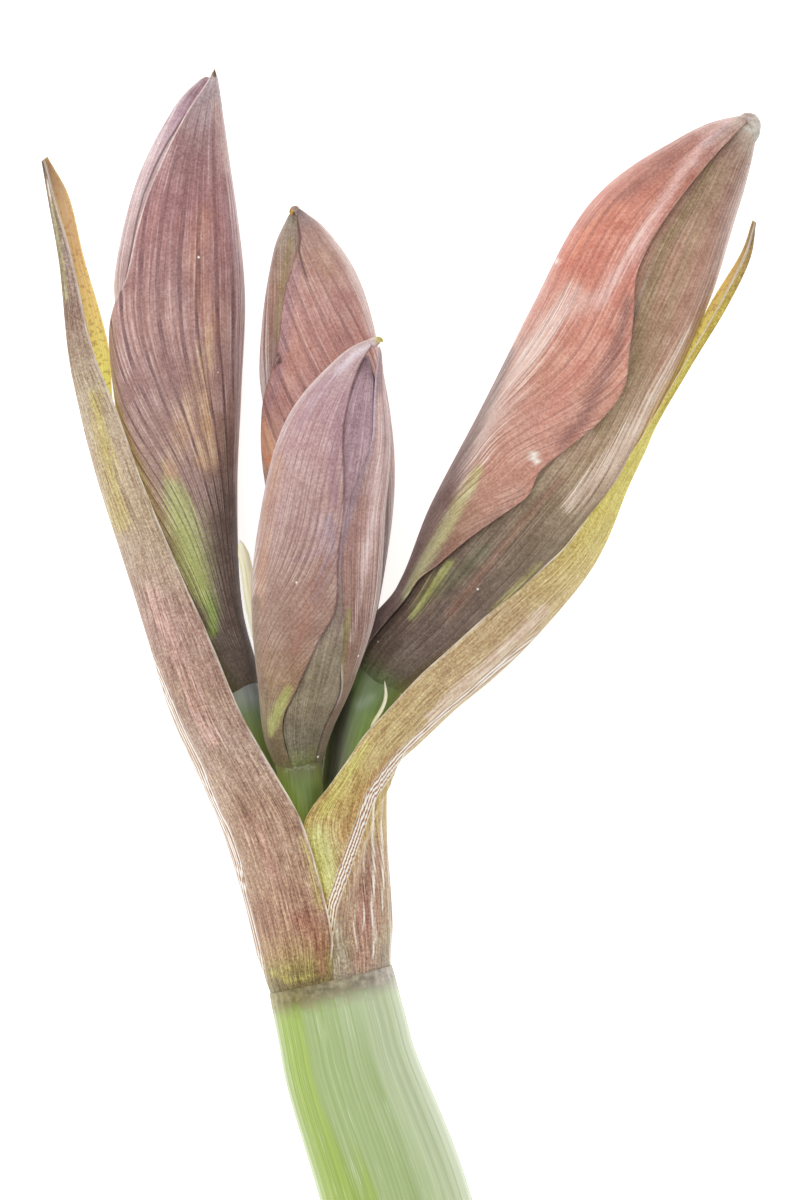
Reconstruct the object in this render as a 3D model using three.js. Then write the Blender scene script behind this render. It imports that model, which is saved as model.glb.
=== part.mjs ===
// A cut amaryllis flower stalk, lying on a table: a hollow stem, two spathe leaves that have
// opened, and four flower buds of unequal age. Millimetres, +Z up from the table, +Y along
// the stalk towards the buds. The origin is on the table, under the middle of the whole.
import * as THREE from 'three';

// Driving sizes
const TABLE = 0;
const TEPAL_THICK = 0.8;
const LAYER_STEP = 1.25; // one tepal and the air under it
const INNER_LEVEL = 1; // the inner tepals lie this many layers deep where nothing covers them
const TRIANGULAR = 0.03; // a bud is this much fuller over its outer ribs
const CORE_GAP = 0.35;
const SPATHE_THICK = 1.0;
const SEAT_GAP = 0.3;

// Counts of faces
const STEM_SIDES = 24;
const STALK_SIDES = 10;
const CORE_SIDES = 12;
const TEPAL_ROWS = 16;
const CORE_ROWS = 11;
const STALK_ROWS = 9;
const SPATHE_COLUMNS = 12;
const SPATHE_ROWS = 22;
const DEGREES_A_COLUMN = 18;

const rad = (degrees) => (degrees * Math.PI) / 180;

// A smooth value read from rows of [place, value].
function smooth(rows, x) {
  const last = rows.length - 1;
  if (x <= rows[0][0]) return rows[0][1];
  if (x >= rows[last][0]) return rows[last][1];
  const i = rows.findIndex((row) => row[0] > x) - 1;
  const slope = (k) => {
    const a = rows[Math.max(k - 1, 0)];
    const b = rows[Math.min(k + 1, last)];
    return (b[1] - a[1]) / (b[0] - a[0]);
  };
  const h = rows[i + 1][0] - rows[i][0];
  const t = (x - rows[i][0]) / h;
  const rise = rows[i + 1][1] - rows[i][1];
  const start = slope(i) * h;
  const end = slope(i + 1) * h;
  return rows[i][1] + start * t + (3 * rise - 2 * start - end) * t ** 2 + (start + end - 2 * rise) * t ** 3;
}

const fade = (x, from, to) => THREE.MathUtils.smoothstep(x, from, to);

// A smooth line through stations [x, y, z, more values], read by its share of the length.
class Line {
  constructor(stations, samples = 240) {
    this.stations = stations;
    this.table = Array.from({ length: samples + 1 }, (_, k) => this.byStation((k / samples) * (stations.length - 1)));
    this.length = [0];
    for (let k = 1; k <= samples; k++) {
      const [a, b] = [this.table[k - 1], this.table[k]];
      this.length.push(this.length[k - 1] + Math.hypot(b[0] - a[0], b[1] - a[1], b[2] - a[2]));
    }
    this.total = this.length[samples];
  }

  byStation(place) {
    const rows = this.stations;
    const i = Math.min(Math.floor(place), rows.length - 2);
    const t = place - i;
    return rows[i].map((b, column) => {
      const c = rows[i + 1][column];
      const a = i > 0 ? rows[i - 1][column] : 2 * b - c;
      const d = i + 2 < rows.length ? rows[i + 2][column] : 2 * c - b;
      const [start, end] = [(c - a) / 2, (d - b) / 2];
      return b + start * t + (3 * (c - b) - 2 * start - end) * t ** 2 + (start + end - 2 * (c - b)) * t ** 3;
    });
  }

  at(share) {
    const want = THREE.MathUtils.clamp(share, 0, 1) * this.total;
    let k = this.length.findIndex((l) => l >= want);
    k = Math.max(k, 1);
    const t = (want - this.length[k - 1]) / (this.length[k] - this.length[k - 1]);
    return this.table[k - 1].map((v, column) => v + (this.table[k][column] - v) * t);
  }

  shareOfStation(index) {
    const k = Math.round((index / (this.stations.length - 1)) * (this.table.length - 1));
    return this.length[k] / this.total;
  }

  // The point, the radius columns, and the directions across (right) and up at a share.
  frame(share) {
    const row = this.at(share);
    const [a, b] = [this.at(share - 0.004), this.at(share + 0.004)];
    const along = new THREE.Vector3(b[0] - a[0], b[1] - a[1], b[2] - a[2]).normalize();
    const right = new THREE.Vector3().crossVectors(along, new THREE.Vector3(0, 0, 1)).normalize();
    const up = new THREE.Vector3().crossVectors(right, along);
    return { row, point: new THREE.Vector3(...row), along, right, up };
  }
}

// The point at an angle round a frame: 0 degrees is up, 90 is right, 180 is down.
function around(frame, degrees, radius) {
  return frame.point
    .clone()
    .addScaledVector(frame.up, Math.cos(rad(degrees)) * radius)
    .addScaledVector(frame.right, Math.sin(rad(degrees)) * radius);
}

const ring = (frame, radius, sides, turn = 0) =>
  Array.from({ length: sides }, (_, k) => around(frame, turn + (k * 360) / sides, radius));

const onTable = (section) => section.map((p) => p.setZ(Math.max(p.z, TABLE)));

const finish = {
  stem: new THREE.MeshStandardMaterial({ color: 0x9cb368, roughness: 0.5, metalness: 0 }),
  spathe: new THREE.MeshStandardMaterial({ color: 0xb89a86, roughness: 0.7, metalness: 0 }),
  ovary: new THREE.MeshStandardMaterial({ color: 0x4f7a3f, roughness: 0.5, metalness: 0 }),
  tepal: new THREE.MeshStandardMaterial({ color: 0x9c7069, roughness: 0.6, metalness: 0 }),
  inner: new THREE.MeshStandardMaterial({ color: 0x7d7458, roughness: 0.6, metalness: 0 }),
  bracteole: new THREE.MeshStandardMaterial({ color: 0xe8e2c4, roughness: 0.7, metalness: 0 }),
};

const stalkGroup = new THREE.Group();

// One closed skin through sections of equally many points, each end closed by a zigzag of faces.
function skin(sections) {
  const n = sections[0].length;
  const faces = [];
  for (let a = 0; a < n * (sections.length - 1); a++) {
    const b = a % n === n - 1 ? a + 1 - n : a + 1;
    faces.push(a, b, a + n, b, b + n, a + n);
  }
  const end = n * (sections.length - 1);
  for (let p = 0; p < n / 2 - 1; p++) {
    const [q, r, s] = [p + 1, n - 2 - p, n - 1 - p];
    faces.push(q, p, s, q, s, r);
    faces.push(end + p, end + q, end + s, end + q, end + r, end + s);
  }
  const geometry = new THREE.BufferGeometry().setFromPoints(sections.flat());
  geometry.setIndex(faces);
  geometry.computeVertexNormals();
  return geometry;
}

function add(name, material, sections) {
  const mesh = new THREE.Mesh(skin(sections), finish[material]);
  mesh.name = name;
  stalkGroup.add(mesh);
}

// The stem: a leaning neck that straightens, cut square, hollow from the cut nearly to the buds.
// Its stations are [x, y, z, outer radius, radius of the hollow].
const STEM = new Line([
  [-11.4, -9.25, 18.4, 10.5, 5.0],
  [-9.4, -17.8, 18.4, 10.8, 5.4],
  [-7.4, -26.0, 17.9, 11.2, 6.0],
  [-0.9, -44.8, 16.9, 12.2, 7.4],
  [4.4, -65.0, 15.9, 12.4, 8.3],
  [7.8, -85.0, 14.9, 12.6, 8.8],
  [9.2, -105.0, 13.8, 12.7, 9.0],
  [9.6, -142.0, 12.2, 12.9, 9.2],
]);
const HOLLOW_TOP = 0.32; // share of the stem's length that stays solid under the buds
const SHOULDER = 8.6; // radius inside which the stem's end rises between the spathe leaves
const RISE = 2;
function makeStem() {
  const halfSide = 180 / STEM_SIDES; // a flat side faces down
  const outside = Array.from({ length: 11 }, (_, k) => {
    const frame = STEM.frame(k / 10);
    return onTable(ring(frame, frame.row[3], STEM_SIDES, halfSide));
  });
  const inside = Array.from({ length: 9 }, (_, k) => {
    const frame = STEM.frame(1 - (k / 8) * (1 - HOLLOW_TOP));
    return ring(frame, frame.row[4], STEM_SIDES, halfSide);
  });
  const shoulder = ring(STEM.frame(0), SHOULDER, STEM_SIDES, halfSide);
  const rise = STEM.frame(0);
  rise.point.addScaledVector(rise.along, -RISE);
  const crown = ring(rise, SHOULDER - 0.4, STEM_SIDES, halfSide);
  add('stem', 'stem', [crown, shoulder, ...outside, ...inside]);
}

// The spathe leaves: each is a boat that stands on one half of the neck. Across, it follows
// half an ellipse from its near edge over its keel to its far edge. Its stations are
// [near edge x, y, z, keel x, y, z, far edge x, y, z].
const SPATHE_LEFT = [
  [-11.9, -9.1, 28.9, -21.7, -11.4, 18.4, -11.9, -9.1, 7.9],
  [-11.9, -6.0, 29.5, -22.5, -8.4, 18.4, -12.0, -6.1, 7.3],
  [-11.3, -1.6, 29.9, -23.9, -4.2, 18.4, -12.2, -1.8, 7.0],
  [-12.6, 5.5, 30.6, -26.0, 4.8, 18.4, -12.8, 5.5, 6.6],
  [-15.9, 16.8, 31.4, -29.6, 16.4, 18.2, -15.4, 16.8, 6.4],
  [-20.6, 25.4, 31.4, -34.0, 26.0, 17.4, -19.8, 25.4, 6.2],
  [-26.2, 35.2, 26.6, -38.6, 36.2, 16.1, -25.4, 35.2, 5.8],
  [-31.6, 47.8, 22.2, -42.3, 48.2, 14.4, -31.6, 47.8, 4.8],
  [-37.6, 61.2, 21.0, -46.3, 61.2, 13.2, -40.0, 61.2, 3.9],
  [-43.0, 74.2, 18.8, -50.4, 73.7, 12.6, -44.4, 74.2, 4.6],
  [-47.6, 85.4, 15.8, -53.3, 84.5, 12.0, -48.2, 86.0, 5.0],
  [-51.2, 96.0, 14.0, -55.2, 94.5, 11.4, -49.4, 97.0, 6.4],
  [-54.6, 111.0, 13.4, -56.9, 109.5, 11.4, -52.3, 111.5, 8.6],
  [-57.4, 120.6, 13.4, -58.5, 119.2, 12.2, -55.0, 121.5, 10.4],
  [-59.2, 127.6, 13.4, -59.8, 127.4, 12.8, -58.8, 128.2, 12.4],
];
const SPATHE_RIGHT = [
  [-11.4, -9.0, 28.9, -1.4, -6.7, 18.4, -11.4, -9.0, 7.9],
  [-11.5, -6.0, 28.2, -1.3, -3.6, 18.4, -11.5, -6.0, 8.6],
  [-12.9, -1.8, 27.9, -1.2, 0.6, 18.4, -12.9, -1.8, 8.6],
  [-14.2, 6.0, 28.2, -1.5, 8.2, 18.5, -13.6, 6.0, 8.0],
  [-15.9, 16.4, 29.6, -2.1, 16.6, 18.5, -11.6, 16.4, 7.4],
  [-11.2, 23.7, 31.0, -2.0, 22.5, 18.5, -8.4, 21.6, 7.2],
  [-8.3, 27.8, 30.0, -0.9, 25.6, 18.4, -6.0, 25.2, 7.6],
  [-5.6, 31.8, 28.4, 0.2, 28.2, 18.2, -3.0, 28.4, 8.0],
  [-2.3, 35.3, 26.6, 2.8, 31.0, 17.6, 0.4, 31.6, 8.4],
  [3.6, 41.0, 25.6, 8.6, 36.4, 16.8, 5.6, 37.4, 9.0],
  [10.4, 46.8, 24.6, 15.4, 41.8, 15.8, 11.8, 44.0, 9.2],
  [17.6, 52.5, 23.4, 21.8, 47.9, 15.0, 18.4, 50.4, 9.0],
  [26.7, 61.2, 21.6, 30.2, 57.0, 14.4, 26.8, 60.2, 8.4],
  [30.1, 67.2, 21.0, 34.4, 63.8, 14.2, 30.4, 66.4, 8.2],
  [34.7, 74.0, 19.8, 38.6, 72.4, 14.2, 35.2, 73.6, 8.0],
  [39.3, 80.4, 19.2, 42.0, 79.0, 14.4, 39.6, 80.2, 8.4],
  [42.6, 84.0, 18.4, 44.6, 83.8, 14.6, 42.4, 84.4, 9.2],
  [47.4, 92.8, 17.8, 48.6, 92.9, 15.4, 46.8, 93.0, 12.6],
  [53.0, 102.6, 17.4, 54.2, 102.6, 15.8, 51.8, 103.2, 14.2],
  [57.2, 110.6, 17.4, 57.9, 110.2, 16.4, 56.2, 111.2, 15.6],
  [59.3, 117.0, 17.2, 59.6, 117.0, 16.8, 59.0, 117.4, 16.4],
];
// The right leaf buckled where it bent outwards: a fold runs up it, steep on its outer side.
const FOLD_HEIGHT = 3.0;
const FOLD_RUN = [0.03, 0.09, 0.16, 0.36]; // shares of the leaf's length: start, full, full, end
const FOLD_PLACE = [[0.06, -80], [0.12, -64], [0.16, -48], [0.2, -36], [0.26, -12]]; // share, degrees
const FOLD_STEEP = 18; // degrees over which the fold drops
const ROW_BIAS = 1.2; // rows stand closer at the neck

function makeSpathe(name, stations, fold) {
  const sheet = new Line(stations);
  const scaled = (v) => Math.max(1 - SPATHE_THICK / v.length(), 0.3);
  const sections = Array.from({ length: SPATHE_ROWS + 1 }, (_, k) => {
    const share = (k / SPATHE_ROWS) ** ROW_BIAS;
    const row = sheet.at(share);
    const [near, keel, far] = [0, 3, 6].map((i) => new THREE.Vector3(...row.slice(i, i + 3)));
    const middle = near.clone().add(far).multiplyScalar(0.5);
    const depth = keel.sub(middle);
    const half = far.sub(middle);
    const across = (degrees, inside) => {
      const toKeel = depth.clone().multiplyScalar(Math.cos(rad(degrees)));
      const toEdge = half.clone().multiplyScalar(Math.sin(rad(degrees)));
      const outward = toKeel.clone().add(toEdge).normalize();
      if (inside) {
        toKeel.multiplyScalar(scaled(depth));
        toEdge.multiplyScalar(scaled(half));
      }
      return middle.clone().add(toKeel).add(toEdge).addScaledVector(outward, fold ? foldHeight(share, degrees) : 0);
    };
    const angles = Array.from({ length: SPATHE_COLUMNS + 1 }, (_, c) => -90 + (c * 180) / SPATHE_COLUMNS);
    const section = [...angles.map((a) => across(a, false)), ...angles.reverse().map((a) => across(a, true))];
    return fold ? section : section.reverse();
  });
  add(name, 'spathe', sections);
}

function foldHeight(share, degrees) {
  const place = smooth(FOLD_PLACE, share);
  const along = fade(share, FOLD_RUN[0], FOLD_RUN[1]) * (1 - fade(share, FOLD_RUN[2], FOLD_RUN[3]));
  return FOLD_HEIGHT * along * fade(degrees, -92, place) * (1 - fade(degrees, place, place + FOLD_STEEP));
}

// The buds. A spine runs from the root of the pedicel through the ovary to the tip. Its stations
// are [x, y, z, radius of pedicel and ovary, radius of the closed flower].
const FLOWER_STATION = 3; // the flower starts at this station of every spine
const BUDS = {
  left: {
    spine: [
      [-16.2, -7.6, 18.4, 2.6, 5],
      [-19.4, 4.0, 17.8, 2.6, 5],
      [-23.4, 21.0, 16.6, 3.8, 5],
      [-27.9, 35.8, 15.2, 4.1, 5.2],
      [-32.2, 52.0, 12.9, 4, 6.1],
      [-35.3, 71.2, 11.1, 4, 8.3],
      [-36.9, 87.8, 10.3, 4, 10.5],
      [-37.1, 104.5, 10.1, 4, 11.2],
      [-36.1, 120.5, 10.3, 4, 8.9],
      [-33.8, 134.0, 11.0, 4, 4.8],
      [-31.2, 142.4, 12.0, 4, 1.3],
    ],
    tepals: [
      {
        rib: 60,
        ends: 1,
        left: [
          [0, 58], [0.12, 95], [0.3, 130], [0.48, 150], [0.58, 140], [0.634, 122],
          [0.67, 108.5], [0.75, 104], [0.83, 98], [0.91, 90], [0.96, 80], [1, 74],
        ],
        right: [[0, 58], [0.15, 66], [0.5, 72], [0.85, 60], [1, 55]],
      },
      {
        rib: -62,
        ends: 0.99,
        left: [[0, 56], [0.15, 74], [0.5, 86], [0.85, 80], [1, 60]],
        right: [[0, 56], [0.15, 60], [0.5, 62], [1, 50]],
      },
      {
        rib: 180,
        ends: 0.945,
        left: [[0, 56], [0.15, 76], [0.5, 88], [0.85, 76], [1, 55]],
        right: [[0, 56], [0.15, 64], [0.5, 70], [0.85, 66], [1, 50]],
      },
    ],
  },
  back: {
    spine: [
      [-11.2, -6.2, 13.8, 2.6, 5],
      [-10.8, 6.0, 13.2, 2.6, 5],
      [-10.4, 20.0, 12.0, 3.6, 5],
      [-10.3, 34.0, 10.8, 4.0, 4.8],
      [-10.5, 47.0, 10.6, 4, 6.2],
      [-10.9, 61.0, 11.0, 4, 9.2],
      [-11.6, 76.0, 11.5, 4, 10.9],
      [-12.8, 90.0, 11.5, 4, 10.6],
      [-14.3, 104.5, 11.4, 4, 8.4],
      [-16.0, 113.6, 11.4, 4, 5.1],
      [-17.5, 119.6, 11.6, 4, 1.15],
    ],
    tepals: [
      {
        rib: 55,
        ends: 1,
        left: [
          [0, 58], [0.15, 85], [0.35, 116], [0.5, 134], [0.6, 124], [0.634, 118], [0.69, 104.5],
          [0.733, 97.6], [0.8, 93], [0.85, 88], [0.89, 77], [0.93, 66], [1, 58],
        ],
        right: [[0, 58], [0.15, 66], [0.5, 78], [0.85, 66], [1, 55]],
      },
      {
        rib: -62,
        ends: 0.985,
        left: [[0, 56], [0.15, 76], [0.5, 90], [0.85, 78], [1, 55]],
        right: [[0, 56], [0.15, 62], [0.5, 66], [0.85, 66], [1, 66]],
      },
      {
        rib: 178,
        ends: 0.94,
        left: [[0, 56], [0.15, 74], [0.5, 84], [0.85, 72], [1, 50]],
        right: [[0, 56], [0.15, 66], [0.5, 74], [0.85, 66], [1, 50]],
      },
    ],
  },
  front: {
    spine: [
      [-12.0, -6.2, 22.6, 2.6, 5],
      [-13.4, 2.0, 23.2, 2.6, 5],
      [-15.2, 12.0, 24.0, 3.0, 5],
      [-16.5, 25.0, 26.0, 3.6, 4.8],
      [-17.0, 33.0, 27.4, 4, 6.0],
      [-16.1, 43.0, 29.4, 4, 8.0],
      [-14.7, 55.0, 31.6, 4, 9.6],
      [-12.4, 70.0, 33.6, 4, 10.2],
      [-9.8, 82.0, 34.4, 4, 8.8],
      [-6.6, 91.6, 34.8, 4, 4.6],
      [-3.3, 97.2, 35.0, 4, 1.15],
    ],
    tepals: [
      {
        rib: -55,
        ends: 1,
        left: [[0, 58], [0.15, 70], [0.5, 82], [0.85, 70], [1, 55]],
        right: [
          [0, 36], [0.08, 32], [0.12, 35], [0.18, 48], [0.25, 58], [0.32, 66], [0.38, 75],
          [0.5, 73.2], [0.61, 75], [0.69, 69], [0.77, 60.5], [0.85, 55.4], [0.93, 50.6], [1, 46],
        ],
      },
      {
        rib: 66,
        ends: 0.985,
        left: [
          [0, 24], [0.1, 14], [0.18, 10], [0.24, 21], [0.34, 32.5], [0.42, 42.3], [0.5, 46],
          [0.59, 42.5], [0.67, 37], [0.77, 25], [0.85, 24.4], [1, 24],
        ],
        right: [[0, 56], [0.15, 72], [0.5, 84], [0.85, 72], [1, 50]],
      },
      {
        rib: 185,
        ends: 0.94,
        left: [[0, 56], [0.15, 66], [0.5, 74], [0.85, 66], [1, 50]],
        right: [[0, 56], [0.15, 70], [0.5, 80], [0.85, 70], [1, 50]],
      },
    ],
  },
  right: {
    spine: [
      [-6.8, -5.2, 18.4, 2.6, 5],
      [-8.8, 8.0, 19.2, 2.6, 5],
      [-9.2, 23.0, 20.4, 3.8, 5],
      [-4.3, 41.0, 20.6, 4.3, 6.2],
      [5.9, 51.7, 18.8, 4, 7.9],
      [14.8, 63.5, 16.1, 4, 10.8],
      [24.7, 80.2, 12.9, 4, 12.8],
      [34.2, 97.7, 11.4, 4, 13.2],
      [42.6, 114.0, 12.1, 4, 12.3],
      [51.6, 126.6, 13.8, 4, 7.1],
      [58.7, 134.2, 15.0, 4, 1.9],
    ],
    tepals: [
      {
        rib: -70,
        ends: 1,
        left: [[0, 58], [0.15, 72], [0.5, 84], [0.85, 72], [1, 60]],
        right: [
          [0, 32], [0.14, 26], [0.18, 40], [0.24, 55.4], [0.3, 69], [0.335, 74.6], [0.372, 71.5], [0.42, 78],
          [0.5, 92], [0.554, 95.3], [0.6, 88.5], [0.67, 77.4], [0.71, 70], [0.75, 67.5], [0.83, 66.7], [1, 64],
        ],
      },
      {
        rib: 48,
        ends: 0.99,
        left: [[0, 95], [0.15, 100], [0.3, 84], [0.5, 68], [0.85, 66], [1, 62]],
        right: [[0, 56], [0.15, 76], [0.5, 92], [0.85, 80], [1, 60]],
      },
      {
        rib: 172,
        ends: 0.95,
        left: [[0, 56], [0.15, 72], [0.5, 82], [0.85, 72], [1, 50]],
        right: [[0, 56], [0.15, 68], [0.5, 76], [0.85, 70], [1, 50]],
      },
    ],
  },
};

// How far a tepal covers the angle at this share of the flower: 1 under it, fading to 0 past its edge.
const COVER_MARGIN = 18;
const COVER_FADE = 50;
function cover(tepal, share, degrees) {
  if (share > tepal.ends + 0.02) return 0;
  const rightwards = THREE.MathUtils.euclideanModulo(degrees - tepal.rib, 360);
  const pastRight = rightwards - smooth(tepal.right, share);
  const pastLeft = 360 - rightwards - smooth(tepal.left, share);
  return 1 - fade(Math.min(pastLeft, pastRight), COVER_MARGIN, COVER_FADE);
}

// The radius at a share and an angle of a closed flower, this many layers under its outside.
function flowerRadius(bud, row, degrees, level) {
  const fuller = 1 + TRIANGULAR * Math.cos(rad(3 * (degrees - bud.tepals[0].rib)));
  return row[4] * fuller - LAYER_STEP * level;
}

function makeBud(name, bud) {
  const spine = new Line(bud.spine);
  const start = spine.shareOfStation(FLOWER_STATION);
  const flowerFrame = (share) => spine.frame(start + (1 - start) * share);

  const stalkEnd = start - SEAT_GAP / spine.total;
  const stalk = Array.from({ length: STALK_ROWS + 1 }, (_, k) => {
    const frame = spine.frame((k / STALK_ROWS) * stalkEnd);
    return ring(frame, frame.row[3], STALK_SIDES);
  });
  add(`${name}_bud_stalk_and_ovary`, 'ovary', stalk);

  bud.tepals.forEach((tepal, order) => {
    const above = bud.tepals.slice(0, order);
    const widest = Math.max(...[0.3, 0.5, 0.7].map((s) => smooth(tepal.left, s) + smooth(tepal.right, s)));
    const columns = Math.round(widest / DEGREES_A_COLUMN);
    const sections = Array.from({ length: TEPAL_ROWS + 1 }, (_, k) => {
      const share = (k / TEPAL_ROWS) * tepal.ends;
      const frame = flowerFrame(share);
      const [from, to] = [tepal.rib - smooth(tepal.left, share), tepal.rib + smooth(tepal.right, share)];
      const angles = Array.from({ length: columns + 1 }, (_, c) => from + ((to - from) * c) / columns);
      const arc = (inside) =>
        angles.map((a) => {
          const level = above.reduce((sum, t) => sum + cover(t, share, a), 0);
          const radius = flowerRadius(bud, frame.row, a, level) - (inside ? TEPAL_THICK : 0);
          return around(frame, a, Math.max(radius, inside ? 0.15 : 0.5));
        });
      return onTable([...arc(false), ...arc(true).reverse()]);
    });
    add(`${name}_bud_outer_tepal_${order + 1}`, 'tepal', sections);
  });

  const coreEnd = 0.9;
  const core = Array.from({ length: CORE_ROWS + 1 }, (_, k) => {
    const share = (k / CORE_ROWS) * coreEnd;
    const frame = flowerFrame(share);
    const close = Math.sqrt(1 - fade(k, CORE_ROWS - 3, CORE_ROWS + 0.4));
    const points = Array.from({ length: CORE_SIDES }, (_, c) => {
      const a = (c * 360) / CORE_SIDES;
      const level = Math.max(INNER_LEVEL, bud.tepals.reduce((sum, t) => sum + cover(t, share, a), 0));
      const radius = (flowerRadius(bud, frame.row, a, level) - CORE_GAP) * close;
      return around(frame, a, Math.max(radius, 0.3));
    });
    return points;
  });
  add(`${name}_bud_inner_tepals`, 'inner', core);
}

// The bracteoles: thin straps among the pedicels. Their stations are [x, y, z, half width].
const BRACTEOLE_THICK = 0.7;
const BRACTEOLES = {
  front: [
    [-8.0, -5.4, 23.4, 0.9],
    [-7.8, 8.0, 24.2, 0.9],
    [-6.6, 22.0, 25.2, 0.8],
    [-4.6, 31.6, 25.9, 0.4],
    [-4.3, 33.4, 26.1, 0.32],
    [-2.8, 36.0, 26.4, 0.3],
    [-2.2, 38.1, 26.6, 0.28],
    [-2.4, 40.7, 26.8, 0.16],
  ],
  back: [
    [-15.6, -7.0, 13.6, 0.9],
    [-16.0, 6.0, 13.2, 0.9],
    [-17.6, 20.0, 13.0, 0.9],
    [-19.6, 32.0, 15.2, 0.9],
    [-22.2, 42.0, 18.6, 0.95],
    [-24.4, 52.0, 19.6, 1.0],
    [-25.4, 59.0, 19.8, 1.0],
    [-26.5, 64.0, 20.0, 0.9],
  ],
};

function makeBracteole(name, stations) {
  const strap = new Line(stations);
  const rows = 8;
  const sections = Array.from({ length: rows + 1 }, (_, k) => {
    const frame = strap.frame(k / rows);
    const half = frame.row[3];
    const corner = (x, z) =>
      frame.point.clone().addScaledVector(frame.right, x * half).addScaledVector(frame.up, (z * BRACTEOLE_THICK) / 2);
    return [corner(-1, 1), corner(1, 1), corner(1, -1), corner(-1, -1)];
  });
  add(`${name}_bracteole`, 'bracteole', sections);
}

makeStem();
makeSpathe('left_spathe_leaf', SPATHE_LEFT, false);
makeSpathe('right_spathe_leaf', SPATHE_RIGHT, true);
Object.entries(BUDS).forEach(([name, bud]) => makeBud(name, bud));
Object.entries(BRACTEOLES).forEach(([name, stations]) => makeBracteole(name, stations));

export default stalkGroup;
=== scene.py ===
from functools import partial

import bpy
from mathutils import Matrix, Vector
import numpy as np


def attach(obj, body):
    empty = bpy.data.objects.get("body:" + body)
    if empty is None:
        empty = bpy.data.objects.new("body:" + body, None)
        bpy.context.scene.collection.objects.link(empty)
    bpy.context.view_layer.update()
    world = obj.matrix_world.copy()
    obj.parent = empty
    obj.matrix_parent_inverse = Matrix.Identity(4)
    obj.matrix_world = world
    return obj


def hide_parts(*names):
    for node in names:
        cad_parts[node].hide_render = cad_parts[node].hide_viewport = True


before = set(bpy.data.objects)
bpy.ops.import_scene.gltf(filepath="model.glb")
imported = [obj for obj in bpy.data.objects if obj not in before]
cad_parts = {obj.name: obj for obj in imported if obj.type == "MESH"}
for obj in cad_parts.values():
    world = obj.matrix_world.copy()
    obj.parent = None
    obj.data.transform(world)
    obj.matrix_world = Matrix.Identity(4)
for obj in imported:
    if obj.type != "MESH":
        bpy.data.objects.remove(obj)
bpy.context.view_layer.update()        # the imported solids: one body, "root", and 25 nodes
bpy.ops.object.select_all(action="DESELECT")


# The sheet under the stalk: matt white acrylic, lit from below as on a viewing table, so that
# the flower lies on almost pure white and its thin edges glow.
def linear(code):
    """An sRGB hex colour in linear light, with alpha."""
    shares = [int(code[i:i + 2], 16) / 255 for i in (1, 3, 5)]
    return [c / 12.92 if c <= 0.04045 else ((c + 0.055) / 1.055) ** 2.4 for c in shares] + [1.0]


def add_node(material, kind, inputs=(), stops=(), **settings):
    """Adds a shader node with its settings, its inputs filled by values, hex colours or links (a node
    stands for its first output), and its ramp's stops as {place: colour}."""
    node = material.node_tree.nodes.new("ShaderNode" + kind)
    if kind == "Mix":
        node.data_type = "RGBA"
    for name, value in settings.items():
        setattr(node, name, value)
    for key, value in dict(inputs).items():
        by_name = [s for s in node.inputs if s.name == key and not s.is_unavailable]
        socket = node.inputs[key] if isinstance(key, int) else by_name[0]
        if isinstance(value, bpy.types.Node):
            value = next(s for s in value.outputs if not s.is_unavailable)
        if isinstance(value, bpy.types.NodeSocket):
            material.node_tree.links.new(value, socket)
        else:
            socket.default_value = linear(value) if isinstance(value, str) else value
    for i, (place, code) in enumerate(dict(stops).items()):
        elements = node.color_ramp.elements
        stop = elements[i] if i < 2 else elements.new(place)
        stop.position = place
        stop.color = linear(code)
    return node


def new_material(name):
    """An empty material, and the function that adds nodes to it."""
    material = bpy.data.materials.new(name)
    material.use_nodes = True
    material.node_tree.nodes.clear()
    return material, partial(add_node, material)


SHEET_SIZE = 3.0
sheet_paint, put = new_material("matt_white_acrylic")     # even white without any gloss
sheet_grain = put("TexNoise", {"Scale": 90.0, "Detail": 2.0})
put("OutputMaterial", {"Surface": put("BsdfPrincipled", {
    "Base Color": put("ValToRGB", {0: sheet_grain}, stops={0.3: "#f3f3f3", 0.7: "#f8f8f8"}),
    "Roughness": 0.9, "Specular IOR Level": 0.1, "Emission Color": "#ffffff", "Emission Strength": 0.7,
})})
bpy.ops.mesh.primitive_plane_add(size=SHEET_SIZE, location=(0, 0, 0))
sheet = bpy.context.object
sheet.name = "white_sheet"
sheet.data.materials.append(sheet_paint)
bpy.ops.object.select_all(action="DESELECT")


# The light: a bright white room that lights the stalk evenly from all round, and one broad square soft
# box high on the left, aimed at the buds, that gives their rounded sides a slight shade.
ROOM_BRIGHTNESS = 0.72
SOFT_BOX = {"size": 0.9, "energy": 6.0, "place": (-0.35, 0.35, 1.1), "aim": (0.0, 0.05, 0.0)}
world = bpy.data.worlds.new("white_room")
bpy.context.scene.world = world
world.use_nodes = True
world.node_tree.nodes["Background"].inputs["Color"].default_value = (1.0, 1.0, 1.0, 1.0)
world.node_tree.nodes["Background"].inputs["Strength"].default_value = ROOM_BRIGHTNESS
bpy.ops.object.light_add(type="AREA", location=SOFT_BOX["place"])
soft_box = bpy.context.object
soft_box.name = "soft_box"
soft_box.data.shape = "SQUARE"
soft_box.data.size = SOFT_BOX["size"]
soft_box.data.energy = SOFT_BOX["energy"]
aim = Vector(SOFT_BOX["aim"]) - Vector(SOFT_BOX["place"])
soft_box.rotation_euler = aim.to_track_quat("-Z", "Y").to_euler()
bpy.context.scene.view_settings.view_transform = "Standard"
bpy.ops.object.select_all(action="DESELECT")


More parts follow.
